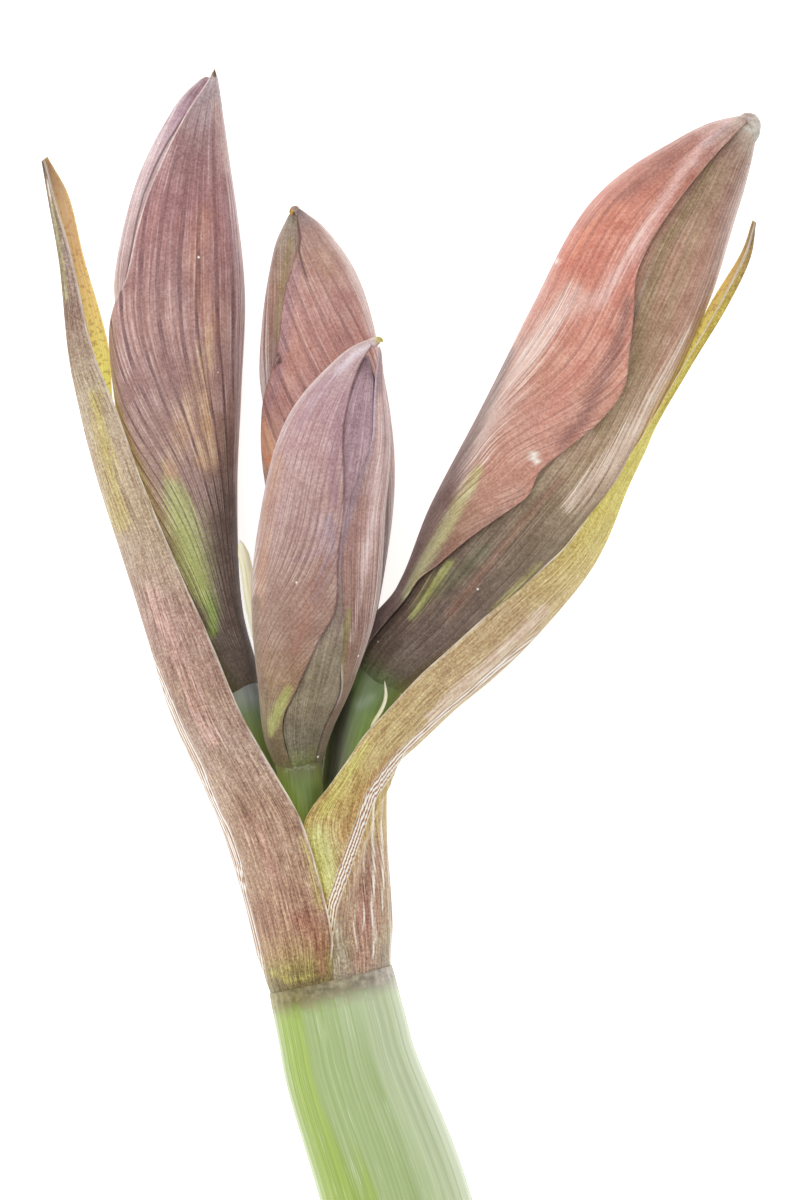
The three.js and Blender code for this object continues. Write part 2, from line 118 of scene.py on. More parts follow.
# The camera: straight above the stalk, far off with a long lens, as the photograph was taken. Its frame
# shows as much of the stalk as the photograph, at the scale that the part was measured in.
PHOTO_HEIGHT_PX = 1200
PX_PER_MM = 6.0
CAMERA_DISTANCE = 2.0     # metres
FOCUS_HEIGHT = 0.020      # the height above the sheet at which the scale holds
FRAME_MIDDLE_Y = 0.054    # the middle of the photograph on the stalk
SENSOR_MM = 36.0
bpy.ops.object.camera_add(location=(0, FRAME_MIDDLE_Y, FOCUS_HEIGHT + CAMERA_DISTANCE), rotation=(0, 0, 0))
camera = bpy.context.object
camera.name = "camera"
camera.data.sensor_fit = "VERTICAL"
camera.data.sensor_height = SENSOR_MM
camera.data.lens = SENSOR_MM * CAMERA_DISTANCE * 1000 * PX_PER_MM / PHOTO_HEIGHT_PX
camera.data.clip_end = 20.0
bpy.context.scene.camera = camera
bpy.ops.object.select_all(action="DESELECT")


# The stem: a hollow green scape, cut square at its lower end, with a purple-grey ring at the neck
# where the spathe leaves stand. Its skin is finely striped lengthwise, under a pale waxy bloom, with a
# painted highlight down each side as seen from above.
MM = 0.001
# Stations of the stem in millimetres: [x, y, z, outer radius, radius of the hollow].
STEM = [
    [-11.4, -9.25, 18.4, 10.5, 5], [-9.4, -17.8, 18.4, 10.8, 5.4], [-7.4, -26, 17.9, 11.2, 6],
    [-0.9, -44.8, 16.9, 12.2, 7.4], [4.4, -65, 15.9, 12.4, 8.3], [7.8, -85, 14.9, 12.6, 8.8],
    [9.2, -105, 13.8, 12.7, 9], [9.6, -142, 12.2, 12.9, 9.2],
]
STEM_COLUMNS = 144
HOLLOW_TOP = 0.32         # share of the stem's length that stays solid under the buds
SHOULDER = 8.6            # radius inside which the stem's end rises between the spathe leaves
RISE = 2.0                # how high it rises there
CUT_ROUNDING = 0.35       # how far the cut's outer edge is drawn in
SEAT_STEP = 0.05          # the leaves sit in a shallow step round the top
SEAT_RUN = (0.2, 1.6)     # millimetres below the top over which the step runs out
STEM_RIDGES = 34
RIDGE_HEIGHT = 0.07
LUMP_HEIGHT = {"stem": 0.04, "tepal": 0.16, "spathe": 0.18}      # of each skin's slight unevenness
THINNEST = 0.01           # radius at a closed end


class Line:
    """A smooth line through stations [x, y, z, more values], read by its share of the length."""

    def __init__(self, stations, samples=240):
        rows = np.array(stations, float)
        last = len(rows) - 1
        place = np.linspace(0, last, samples + 1)
        i = np.minimum(place.astype(int), last - 1)
        t = (place - i)[:, None]
        b, c = rows[i], rows[i + 1]
        a = np.where((i > 0)[:, None], rows[np.maximum(i - 1, 0)], 2 * b - c)
        d = np.where((i + 1 < last)[:, None], rows[np.minimum(i + 2, last)], 2 * c - b)
        start, end = (c - a) / 2, (d - b) / 2
        rise = c - b
        self.table = b + start * t + (3 * rise - 2 * start - end) * t**2 + (start + end - 2 * rise) * t**3
        steps = np.linalg.norm(np.diff(self.table[:, :3], axis=0), axis=1)
        self.length = np.concatenate([[0], np.cumsum(steps)])
        self.total = self.length[-1]
        self.last = last

    def at(self, share):
        want = np.clip(share, 0, 1) * self.total
        return np.stack([np.interp(want, self.length, column) for column in self.table.T], axis=-1)

    def share_of_station(self, index):
        return self.length[round(index / self.last * (len(self.length) - 1))] / self.total

    def frame(self, share):
        """The row, and the unit directions along, right and up, at each share."""
        row = self.at(share)
        along = self.at(share + 0.004)[:, :3] - self.at(share - 0.004)[:, :3]
        along /= np.linalg.norm(along, axis=1)[:, None]
        right = np.cross(along, [0, 0, 1])
        right /= np.linalg.norm(right, axis=1)[:, None]
        return row, along, right, np.cross(right, along)


def around(frames, degrees, radius):
    """Points at an angle round the line: 0 degrees is up, 90 is right, 180 is down."""
    row, _, right, up = frames
    turn = np.radians(degrees)
    points = row[:, :3] + up * (np.cos(turn) * radius)[:, None] + right * (np.sin(turn) * radius)[:, None]
    points[:, 2] = np.maximum(points[:, 2], 0)
    return points


def fade(x, start, end):
    """0 before start, 1 after end, smooth between them."""
    t = np.clip((x - start) / (end - start), 0, 1)
    return t * t * (3 - 2 * t)


def bump(x, middle, width):
    """1 at the middle, falling to nothing over about two widths each way."""
    return np.exp(-(((x - middle) / width) ** 2))


def rounded(along, start, end):
    """1, rounding down to 0 over the first 1 / start and the last 1 / end of a length."""
    return np.sqrt(np.clip(np.minimum(along * start, (1 - along) * end), 0, 1))


def unevenness(seed, across, along, waves=6, most=3.0):
    """The slight irregularity of grown tissue, within about 1: a few long waves in random directions."""
    draw = np.random.default_rng(seed)
    height = np.zeros_like(across)
    for _ in range(waves):
        pace = draw.uniform(0.4, most, 2)
        height += np.sin(2 * np.pi * (pace[0] * across + pace[1] * along) + draw.uniform(0, 2 * np.pi))
    return height / np.sqrt(waves)


def lay_grid(name, grid, place, marks, material, crowd=0.0):
    """A primitive grid of columns and rows laid on a surface. place(across, along) gives millimetres for
    shares from 0 to 1, marks(across, along, points) gives named values for the finish, and crowd draws
    the columns to both margins."""
    bpy.ops.mesh.primitive_grid_add(x_subdivisions=grid[0], y_subdivisions=grid[1], size=1)
    piece = bpy.context.object
    mesh = piece.data
    piece.name = mesh.name = name

    def spread(x):
        return (1 - crowd) * x + crowd * (0.5 - 0.5 * np.cos(np.pi * np.clip(x, 0, 1)))

    flat = np.empty(len(mesh.vertices) * 3)
    mesh.vertices.foreach_get("co", flat)
    across, along = spread(np.round(flat[0::3] + 0.5, 6)), np.round(flat[1::3] + 0.5, 6)
    points = place(across, along)
    mesh.vertices.foreach_set("co", (points * MM).ravel())
    uv = np.empty(len(mesh.loops) * 2, np.float32)
    mesh.uv_layers[0].data.foreach_get("uv", uv)
    uv[0::2] = spread(uv[0::2])
    mesh.uv_layers[0].data.foreach_set("uv", uv)
    kinds = {1: ("FLOAT", "value"), 3: ("FLOAT_VECTOR", "vector"), 4: ("FLOAT_COLOR", "color")}
    for mark, values in marks(across, along, points).items():
        values = np.asarray(values, np.float32).reshape(len(across), -1)
        kind, field = kinds[values.shape[1]]
        mesh.attributes.new(mark, kind, "POINT").data.foreach_set(field, values.ravel())
    mesh.materials.append(material)
    mesh.update()
    bpy.ops.object.shade_smooth()
    return piece


def close_seams(piece, flip=False):
    """Merges the margins that meet, and turns the faces round where they point inwards."""
    bpy.ops.object.select_all(action="DESELECT")
    bpy.context.view_layer.objects.active = piece
    piece.select_set(True)
    bpy.ops.object.mode_set(mode="EDIT")
    bpy.ops.mesh.select_all(action="SELECT")
    if flip:
        bpy.ops.mesh.flip_normals()
    bpy.ops.mesh.remove_doubles(threshold=1e-6)
    bpy.ops.mesh.dissolve_degenerate(threshold=1e-7)
    bpy.ops.object.mode_set(mode="OBJECT")
    bpy.ops.object.select_all(action="DESELECT")


def settle(piece, node, parts=()):
    """Joins its parts to the finished piece and merges their margins. The piece stands for its solid,
    which it hides, and rides on the one body."""
    for part in parts:
        part.select_set(True)
    if parts:
        piece.select_set(True)
        bpy.context.view_layer.objects.active = piece
        bpy.ops.object.join()
    close_seams(piece)
    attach(piece, "root")
    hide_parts(node)


def nearest_on(points, path):
    """For each piece of a path drawn from above: its row at the place nearest to the points, how far off
    they lie, and on which side, 1 to its right and -1 to its left."""
    for start, end in zip(path[:-1], path[1:]):
        start, step = np.array(start), np.array(end) - np.array(start)
        to = points[:, :2] - start[:2]
        t = np.clip(to @ step[:2] / (step[:2] @ step[:2]), 0, 1)[:, None]
        side = np.sign(to[:, 0] * step[1] - to[:, 1] * step[0])
        yield start + t * step, np.linalg.norm(to - t * step[:2], axis=1), side


def painted(along, look, points, facing):
    """The colours of grown skin: a ground from base to tip, as {share of the length: colour}, and strokes
    laid on it from above, as [colour, strength, [x, y, half width], ...] in millimetres. Soft ones blend
    into the ground; streaked ones give a colour and a share that the finish breaks up along the veins."""
    tones = np.array([linear(code) for code in look["ground"].values()])
    ground = np.stack([np.interp(along, list(look["ground"]), column) for column in tones.T], axis=-1)
    spots = ground.copy()
    spots[:, 3] = 0
    for kind in ("soft", "streaked"):
        for code, strength, *path in look.get(kind, []):
            reach = np.zeros_like(along)
            for row, away, _ in nearest_on(points, path):
                reach = np.maximum(reach, bump(away, 0, row[:, 2]))
            share = (strength * reach * facing)[:, None]
            if kind == "soft":
                ground += np.minimum(share, 1) * (linear(code) - ground)
            else:
                spots[:, :3] += np.clip(share * 2.5, 0, 1) * (np.array(linear(code))[:3] - spots[:, :3])
                spots[:, 3:] = np.maximum(spots[:, 3:], share)
    return ground, spots


def from_line(points, path):
    """The distance to a line drawn from above: millimetres to its right, negative to its left, and a
    share that is 1 beside the line and fades out 2 millimetres off."""
    nearest = np.full(len(points), 9.0)
    for _, away, side in nearest_on(points, path):
        nearest = np.where(away < np.abs(nearest), away * side, nearest)
    return np.stack([nearest, 1 - fade(np.abs(nearest), 1.2, 2.0), 0 * nearest], axis=-1)


def drawn_out(put, place, scale, detail, roughness=0.5, location=(0, 0, 0)):
    """Noise with its own scale in each direction."""
    stretched = put("Mapping", {"Vector": place, "Scale": scale, "Location": location})
    return put("TexNoise", {"Vector": stretched, "Scale": 1.0, "Detail": detail, "Roughness": roughness})


def grained(put, tone, *layers):
    """A tone with layers of soft light on it, each of them (noise, factor, the noise's colours)."""
    for noise, factor, stops in layers:
        grain = put("ValToRGB", {0: noise}, stops=stops)
        tone = put("Mix", {"Factor": factor, "A": tone, "B": grain}, blend_type="SOFT_LIGHT")
    return tone


def stem_path():
    """The stem's wall as one path of rows: [share of the length, radius, distance back, cut, hollow]."""
    line = Line(STEM)
    outside = np.linspace(0, 1, 150)
    inside = np.linspace(1, HOLLOW_TOP, 70)
    rows = [(0, radius, RISE, 0, 0) for radius in (THINNEST, SHOULDER * 0.5, SHOULDER - 0.4)]
    rows += [(0, SHOULDER, 0.1, 0, 0), (0, SHOULDER + 0.6, 0, 0, 0)]
    rows += [(s, line.at(s)[3] - CUT_ROUNDING * bump(s, 1, 0.0012), 0, 0, 0) for s in outside]
    outer, inner = line.at(1)[3:5]
    rows += [(1, outer + (inner - outer) * t, 0, 1, 0) for t in (0.08, 0.25, 0.5, 0.75, 0.94)]
    rows += [(s, line.at(s)[4], 0, 0, 1) for s in inside]
    rows += [(HOLLOW_TOP, line.at(HOLLOW_TOP)[4] * 0.5, 0, 0, 1), (HOLLOW_TOP, THINNEST, 0, 0, 1)]
    return line, np.array(rows, float)


STEM_LINE, STEM_ROWS = stem_path()


def stem_row(along):
    """The row of the stem's path at a share of its rows."""
    return STEM_ROWS[np.round(along * (len(STEM_ROWS) - 1)).astype(int)]


def stem_place(across, along):
    row = stem_row(along)
    frames = STEM_LINE.frame(row[:, 0])
    frames[0][:, :3] -= frames[1] * row[:, 2:3]
    outside = 1 - np.maximum(row[:, 3], row[:, 4])
    ridges = np.cos(2 * np.pi * STEM_RIDGES * across) * RIDGE_HEIGHT * outside
    seat = SEAT_STEP * (1 - fade(row[:, 0] * STEM_LINE.total, *SEAT_RUN)) * outside
    seat *= row[:, 1] > SHOULDER + 1
    lumps = LUMP_HEIGHT["stem"] * unevenness(3, np.round(across % 1, 6) * 2, row[:, 0] * 3) * outside
    lumps *= np.sin(np.pi * across) ** 2
    return around(frames, across * 360, np.maximum(row[:, 1] + ridges - seat + lumps, THINNEST))


def stem_marks(across, along, points):
    row = stem_row(along)
    return {"run": row[:, 0] * STEM_LINE.total / 100, "cut": row[:, 3], "hollow": row[:, 4]}


# Fresh scape tissue: a waxy, fairly soft gloss over wet green, a little light passing through.
stem_paint, put = new_material("fresh_green_scape")
uv = put("UVMap")
bodily = put("TexCoord").outputs["Object"]
turn = put("SeparateXYZ", {0: uv})
run, cut, hollow = [
    put("Attribute", attribute_name=mark).outputs["Fac"] for mark in ("run", "cut", "hollow")
]
stripes = drawn_out(put, uv, (170.0, 2.0, 1.0), 5.0, 0.75)
flecks = drawn_out(put, uv, (230.0, 26.0, 1.0), 1.0)
broad = drawn_out(put, uv, (9.0, 3.0, 1.0), 2.0, location=(1.7, 0.3, 0.0))
side = put("Math", {0: put("Math", {0: turn, 1: broad}, operation="ADD"), 1: 0.5}, operation="SUBTRACT")
tone = put("ValToRGB", {0: side}, stops={
    0: "#a6b880", 0.08: "#9fb45e", 0.2: "#9ab04e", 0.45: "#93a35a", 0.55: "#9cab6e", 0.72: "#b4bf9c",
    0.88: "#b9c69d", 1: "#a6b880",
})
# Painted highlight: a pale band down each side of the stem as seen from above, for the light glowing through
# its edges.
painted_rim_light = put("ValToRGB", {0: turn}, stops={
    0.185: "#000000", 0.235: "#bcbcbc", 0.265: "#bcbcbc", 0.33: "#000000", 0.67: "#000000",
    0.735: "#d8d8d8", 0.765: "#d8d8d8", 0.84: "#000000",
})
tone = put("Mix", {"Factor": painted_rim_light, "A": tone, "B": "#dde4d2"})
tone = grained(put, tone, (stripes, 0.75, {0.32: "#7e8668", 0.5: "#bcbcbc", 0.66: "#e4e8dc"}))
fleck_share = put("MapRange", {"Value": flecks, "From Min": 0.64, "From Max": 0.8, "To Max": 0.5})
tone = put("Mix", {"Factor": fleck_share, "A": tone, "B": "#e4ead2"})
blotches = put("TexNoise", {"Vector": bodily, "Scale": 700.0, "Detail": 5.0, "Roughness": 0.65})
ring_place = put("Math", {0: stripes, 1: -0.012, 2: run}, operation="MULTIPLY_ADD")
ring_place = put("Math", {0: blotches, 1: -0.05, 2: ring_place}, operation="MULTIPLY_ADD")
ring_share = put("MapRange", {
    "Value": ring_place, "From Min": -0.014, "From Max": 0.02, "To Min": 0.95, "To Max": 0.0,
}, interpolation_type="SMOOTHSTEP")
ring_tone = put("ValToRGB", {0: turn}, stops={
    0: "#8c8268", 0.1: "#7c7048", 0.25: "#938858", 0.75: "#b4ada0", 0.88: "#988e82", 1: "#8c8268",
})
ring_tone = grained(put, ring_tone, (blotches, 0.9, {0.36: "#7a7472", 0.64: "#eceae6"}))
tone = put("Mix", {"Factor": ring_share, "A": tone, "B": ring_tone})
pith = put("TexNoise", {"Vector": bodily, "Scale": 1500.0, "Detail": 4.0})
pith_tone = put("ValToRGB", {0: pith}, stops={0.35: "#b9c98c", 0.65: "#e6ecc8"})
cut_share = put("Math", {0: cut, 1: hollow}, operation="MAXIMUM")
put("OutputMaterial", {"Surface": put("BsdfPrincipled", {
    "Base Color": put("Mix", {"Factor": cut_share, "A": tone, "B": pith_tone}),
    "Normal": put("Bump", {"Strength": 0.35, "Distance": 0.0002, "Height": stripes}),
    "Roughness": 0.42, "IOR": 1.45, "Specular IOR Level": 0.5,
    "Subsurface Weight": 0.25, "Subsurface Radius": (1.0, 1.0, 0.4), "Subsurface Scale": 0.002,
    "Sheen Weight": 0.25, "Sheen Roughness": 0.4, "Sheen Tint": "#f4f7ea",
})})

stem = lay_grid("scape", (STEM_COLUMNS, len(STEM_ROWS) - 1), stem_place, stem_marks, stem_paint)
settle(stem, "stem")


# The pedicels and ovaries: each flower stands on a slim green stalk that swells into a
# three-lobed ovary, with a blue-grey bloom where the flower begins.
# Each spine is in millimetres: [x, y, z, radius of pedicel and ovary, radius of the closed flower].
SPINES = {
    "left": [
        [-16.2, -7.6, 18.4, 2.6, 5], [-19.4, 4, 17.8, 2.6, 5], [-23.4, 21, 16.6, 3.8, 5],
        [-28.1, 38.4, 15, 4.8, 5.5], [-32.2, 52, 12.9, 4, 6.1], [-35.3, 71.2, 11.1, 4, 8.3],
        [-36.9, 87.8, 10.3, 4, 10.5], [-37.1, 104.5, 10.1, 4, 11.2], [-36.1, 120.5, 10.3, 4, 8.9],
        [-33.8, 134, 11, 4, 4.8], [-31.2, 142.4, 12, 4, 1.3],
    ],
    "back": [
        [-11.2, -6.2, 13.8, 2.6, 5], [-10.8, 6, 13.2, 2.6, 5], [-10.4, 20, 12, 3.6, 5],
        [-10.3, 34, 10.8, 4, 4.8], [-10.5, 47, 10.6, 4, 6.2], [-10.9, 61, 11, 4, 9.2],
        [-11.6, 76, 11.5, 4, 10.9], [-12.8, 90, 11.5, 4, 10.6], [-14.3, 104.5, 11.4, 4, 8.4],
        [-16, 113.6, 11.4, 4, 5.1], [-17.5, 119.6, 11.6, 4, 1.15],
    ],
    "front": [
        [-12, -6.2, 22.6, 2.6, 5], [-13.4, 2, 23.2, 2.6, 5], [-15.2, 12, 24, 3, 5],
        [-16.6, 27, 26.4, 3.8, 4.9], [-16.9, 33.6, 27.6, 4, 6], [-15.6, 43, 29.4, 4, 8.5],
        [-13.8, 55, 31.6, 4, 10.5], [-12.4, 70, 33.6, 4, 10.2], [-9.8, 82, 34.4, 4, 8.8],
        [-6.6, 91.6, 34.8, 4, 4.6], [-3.3, 97.2, 35, 4, 1.15],
    ],
    "right": [
        [-6.8, -5.2, 18.4, 2.6, 5], [-8.8, 8, 19.2, 2.6, 5], [-9.2, 23, 20.4, 3.8, 5],
        [-4, 40.8, 20.6, 5, 6.5], [5.9, 51.7, 18.8, 4, 7.9], [14.7, 63.6, 16.1, 4, 11.2],
        [25.7, 79.6, 12.9, 4, 13.4], [34.8, 97.4, 11.6, 4, 13.4], [42.8, 113.9, 12.2, 4, 12.4],
        [52, 126.5, 13.8, 4, 7.2], [59, 134.2, 15, 4, 2.2],
    ],
}
STALK_GRID = (60, 110)
FLOWER_STATION = 3        # the flower starts at this station of every spine
OVERRUN = 1.4             # millimetres that the ovary runs on into the flower's base
SWELL = (0.55, 0.75)      # shares of the pedicel's length over which it swells into the ovary
LOBE = 0.05               # the ovary is this much fuller over its three chambers
LOBE_TURN = 60            # degrees from its upper side to the first of them
NECK_SLIMMING = 0.12      # the overrun is this much slimmer at its end
LINES = {name: Line(spine) for name, spine in SPINES.items()}
STARTS = {name: line.share_of_station(FLOWER_STATION) for name, line in LINES.items()}

# Smooth green ovary skin: a soft wet gloss, dulled by bloom at the top.
ovary_paint, put = new_material("green_ovary_skin")
stripes = drawn_out(put, put("UVMap"), (50.0, 5.0, 1.0), 4.0, 0.6)
bloom = put("TexNoise", {"Vector": put("TexCoord").outputs["Object"], "Scale": 2600.0, "Detail": 2.0})
ground, spots = [put("Attribute", attribute_name=mark) for mark in ("ground", "spots")]
share = put("Math", {0: bloom, 1: 1.4, 2: spots.outputs["Alpha"]}, operation="MULTIPLY_ADD")
spotted = put("MapRange", {"Value": share, "From Min": 0.9, "From Max": 1.6})
tone = put("Mix", {"Factor": spotted, "A": ground, "B": spots})
put("OutputMaterial", {"Surface": put("BsdfPrincipled", {
    "Base Color": grained(put, tone, (stripes, 0.5, {0.3: "#8c8c80", 0.7: "#e0e0d8"})),
    "Normal": put("Bump", {"Strength": 0.25, "Distance": 0.0002, "Height": stripes}),
    "Roughness": 0.38, "IOR": 1.45,
    "Subsurface Weight": 0.15, "Subsurface Radius": (1.0, 1.0, 0.4), "Subsurface Scale": 0.0015,
    "Sheen Weight": 0.2, "Sheen Roughness": 0.4, "Sheen Tint": "#e8eef2",
})})
# The looks of each ovary: the ground from the pedicel's foot to the flower, and the strokes, among
# them some painted shade and a painted highlight.
OVARY_LOOKS = {
    "left": {
        "ground": {
            0: "#9db07a", 0.6: "#8f9c6c", 0.8: "#879562", 0.88: "#85957c", 0.93: "#99a0a6", 1: "#8b8c94",
        },
    },
    "back": {
        "ground": {0: "#9db07a", 0.6: "#7d8a5c", 0.9: "#6c7452", 1: "#5c504a"},
    },
    "front": {
        "ground": {
            0: "#9db07a", 0.6: "#768848", 0.8: "#738346", 0.88: "#6c7c46", 0.95: "#686a46", 1: "#645e48",
        },
        "soft": [
            # Painted shade: darker green down the side of the ovary away from the light.
            ["#4f6234", 0.9, [-14.2, 17, 1.2], [-13.8, 22, 1.6]],
        ],
        "streaked": [
            ["#a9b796", 0.35, [-18.8, 25.6, 0.8], [-16.5, 26.4, 1], [-14.4, 26.2, 0.8]],
        ],
    },
    "right": {
        "ground": {0: "#9db07a", 0.6: "#7f8a5c", 0.85: "#6c8348", 0.95: "#6b7d50", 1: "#5c6148"},
        "soft": [
            # Painted shadow: dark down the lower left of the ovary.
            ["#4a4a3e", 1.1, [-11.2, 24.5, 1.7], [-9.9, 32, 1.5], [-8.6, 38.5, 1.2]],
            ["#7d9657", 0.9, [-6.6, 29.5, 1.2], [-5, 34, 1.4]],
            # Partly the blue-grey bloom, partly a painted highlight on the ovary's top.
            ["#93a38a", 0.6, [-6.4, 36.6, 1], [-4.6, 37.8, 0.8]],
        ],
    },
}

for name, line in LINES.items():
    top = STARTS[name] + OVERRUN / line.total

    def stalk_place(across, along, line=line, top=top, start=STARTS[name]):
        frames = line.frame(along * top)
        closing = rounded(along, 60, 400)
        closing *= 1 - NECK_SLIMMING * fade(along * top, start, top)
        lobes = 1 + LOBE * fade(along, *SWELL) * np.cos(np.radians(3 * (across * 360 - LOBE_TURN)))
        return around(frames, across * 360, np.maximum(frames[0][:, 3] * lobes * closing, THINNEST))

    def stalk_marks(across, along, points, look=OVARY_LOOKS[name]):
        upward = fade(np.cos(2 * np.pi * across), -0.2, 0.2)
        ground, spots = painted(along, look, points, upward)
        return {"ground": ground, "spots": spots}

    stalk = lay_grid(f"{name}_pedicel_and_ovary", STALK_GRID, stalk_place, stalk_marks, ovary_paint)
    settle(stalk, f"{name}_bud_stalk_and_ovary")


# The outer tepals: three thick petal-like leaves round each flower, overlapping, with closely
# set veins that fan up from the narrow base, and a thickened rib that ends in a small hard tip.
TEPAL_GRID = (84, 140)
TEPAL_THICK = 0.6
LAYER_STEP = 1.25         # one tepal and the air under it
TRIANGULAR = 0.03         # a bud is this much fuller over its outer ribs
MARGIN_ROUNDING = 0.5     # millimetres over which a margin thins out
# For each tepal: the angle of its rib, the share of the flower at which it ends, and how many
# degrees it reaches to the left and right of the rib, as [share of the flower, degrees].
TEPALS = {
    "left": [
        {"rib": 60, "ends": 1,
         "left": [[0, 58], [0.097, 95], [0.282, 130], [0.467, 150], [0.569, 140], [0.625, 122],
                  [0.662, 108.5], [0.744, 104], [0.826, 98], [0.908, 90], [0.959, 80], [1, 74]],
         "right": [[0, 58], [0.128, 66], [0.487, 72], [0.846, 60], [1, 55]]},
        {"rib": -62, "ends": 0.99,
         "left": [[0, 56], [0.128, 74], [0.487, 86], [0.846, 80], [1, 60]],
         "right": [[0, 56], [0.128, 60], [0.487, 62], [1, 50]]},
        {"rib": 180, "ends": 0.945,
         "left": [[0, 56], [0.128, 76], [0.487, 88], [0.846, 76], [1, 55]],
         "right": [[0, 56], [0.128, 64], [0.487, 70], [0.846, 66], [1, 50]]},
    ],
    "back": [
        {"rib": 55, "ends": 1,
         "left": [[0, 58], [0.15, 85], [0.35, 116], [0.5, 134], [0.6, 124], [0.634, 118], [0.69, 104.5],
                  [0.733, 97.6], [0.8, 93], [0.85, 88], [0.89, 77], [0.93, 66], [1, 58]],
         "right": [[0, 58], [0.15, 66], [0.5, 78], [0.85, 66], [1, 55]]},
        {"rib": -62, "ends": 0.995,
         "left": [[0, 56], [0.15, 76], [0.5, 90], [0.85, 78], [1, 55]],
         "right": [[0, 56], [0.15, 62], [0.5, 66], [0.85, 66], [1, 66]]},
        {"rib": 178, "ends": 0.94,
         "left": [[0, 56], [0.15, 74], [0.5, 84], [0.85, 72], [1, 50]],
         "right": [[0, 56], [0.15, 66], [0.5, 74], [0.85, 66], [1, 50]]},
    ],
    "front": [
        {"rib": -55, "ends": 1,
         "left": [[0, 58], [0.15, 70], [0.5, 82], [0.85, 70], [1, 55]],
         "right": [[0, 36], [0.08, 32], [0.12, 35], [0.18, 48], [0.25, 58], [0.32, 66], [0.38, 75],
                   [0.5, 73.2], [0.61, 75], [0.69, 69], [0.77, 60.5], [0.85, 55.4], [0.93, 50.6], [1, 46]]},
        {"rib": 66, "ends": 0.985,
         "left": [[0, 24], [0.1, 14], [0.18, 10], [0.24, 21], [0.34, 32.5], [0.42, 42.3], [0.5, 46],
                  [0.59, 42.5], [0.67, 37], [0.77, 25], [0.85, 24.4], [1, 24]],
         "right": [[0, 56], [0.15, 72], [0.5, 84], [0.85, 72], [1, 50]]},
        {"rib": 185, "ends": 0.94,
         "left": [[0, 56], [0.15, 66], [0.5, 74], [0.85, 66], [1, 50]],
         "right": [[0, 56], [0.15, 70], [0.5, 80], [0.85, 70], [1, 50]]},
    ],
    "right": [
        {"rib": -70, "ends": 1,
         "left": [[0, 58], [0.15, 72], [0.5, 84], [0.85, 72], [1, 60]],
         "right": [[0, 32], [0.14, 26], [0.18, 40], [0.24, 55.4], [0.3, 69], [0.335, 74.6], [0.372, 71.5],
                   [0.42, 78], [0.5, 92], [0.554, 95.3], [0.6, 88.5], [0.67, 77.4], [0.71, 70],
                   [0.75, 67.5], [0.83, 66.7], [1, 64]]},
        {"rib": 48, "ends": 1,
         "left": [[0, 95], [0.15, 100], [0.3, 84], [0.5, 68], [0.85, 70], [0.93, 90], [1, 120]],
         "right": [[0, 56], [0.15, 76], [0.5, 92], [0.85, 80], [1, 60]]},
        {"rib": 172, "ends": 0.95,
         "left": [[0, 56], [0.15, 72], [0.5, 82], [0.85, 72], [1, 50]],
         "right": [[0, 56], [0.15, 68], [0.5, 76], [0.85, 70], [1, 50]]},
    ],
}
COVER_MARGIN = 18         # degrees past its edge that a tepal still lifts the next one in full
COVER_FADE = 50           # and past which it doesn't lift it at all
ROUND_FROM = 0.95         # share of a tepal from which it rounds in to its apex


def smooth(rows, x):
    """A smooth value read from rows of [place, value]."""
    place, value = np.array(rows, float).T
    i = np.clip(np.searchsorted(place, x, side="right") - 1, 0, len(place) - 2)
    slopes = np.concatenate([
        [(value[1] - value[0]) / (place[1] - place[0])],
        (value[2:] - value[:-2]) / (place[2:] - place[:-2]),
        [(value[-1] - value[-2]) / (place[-1] - place[-2])],
    ])
    h = place[i + 1] - place[i]
    t = np.clip((x - place[i]) / h, 0, 1)
    rise, start, end = value[i + 1] - value[i], slopes[i] * h, slopes[i + 1] * h
    return value[i] + start * t + (3 * rise - 2 * start - end) * t**2 + (start + end - 2 * rise) * t**3


def layers_over(tepals, share, degrees, margin=COVER_MARGIN, end=COVER_FADE):
    """How many of the tepals lie over an angle: 1 for each that covers it, fading to 0 past its edge."""
    level = np.zeros_like(share)
    for tepal in tepals:
        rightwards = np.mod(degrees - tepal["rib"], 360)
        past_right = rightwards - smooth(tepal["right"], share)
        past_left = 360 - rightwards - smooth(tepal["left"], share)
        covered = 1 - fade(np.minimum(past_left, past_right), margin, end)
        level += np.where(share > tepal["ends"] + 0.02, 0, covered)
    return level


def flower_frames(name, share):
    """The frames of a flower's middle line, at shares of the flower alone."""
    return LINES[name].frame(STARTS[name] + (1 - STARTS[name]) * share)


def flower_radius(name, frames, degrees, level):
    """The radius of a closed flower at an angle, under so many layers."""
    fuller = 1 + TRIANGULAR * np.cos(np.radians(3 * (degrees - TEPALS[name][0]["rib"])))
    return frames[0][:, 4] * fuller - LAYER_STEP * level


def speckled_skin(put, bodily, streaks):
    """What tepals and spathe leaves have in common: a mottle, cells, and the ground colour with the
    streaked strokes broken up on it."""
    mottle = put("TexNoise", {"Vector": bodily, "Scale": 260.0, "Detail": 5.0, "Roughness": 0.6})
    cells = put("TexNoise", {"Vector": bodily, "Scale": 2300.0, "Detail": 3.0, "Roughness": 0.7})
    ground, spots = [put("Attribute", attribute_name=mark) for mark in ("ground", "spots")]
    value = put("Math", {0: streaks, 1: 6.0, 2: spots.outputs["Alpha"]}, operation="MULTIPLY_ADD")
    share = put("MapRange", {"Value": value, "From Min": 3.1, "From Max": 4.3, "To Max": 0.9})
    some = put("MapRange", {"Value": spots.outputs["Alpha"], "From Min": 0.02, "From Max": 0.4})
    mask = put("Math", {0: share, 1: some}, operation="MULTIPLY")
    return mottle, cells, put("Mix", {"Factor": mask, "A": ground, "B": spots})
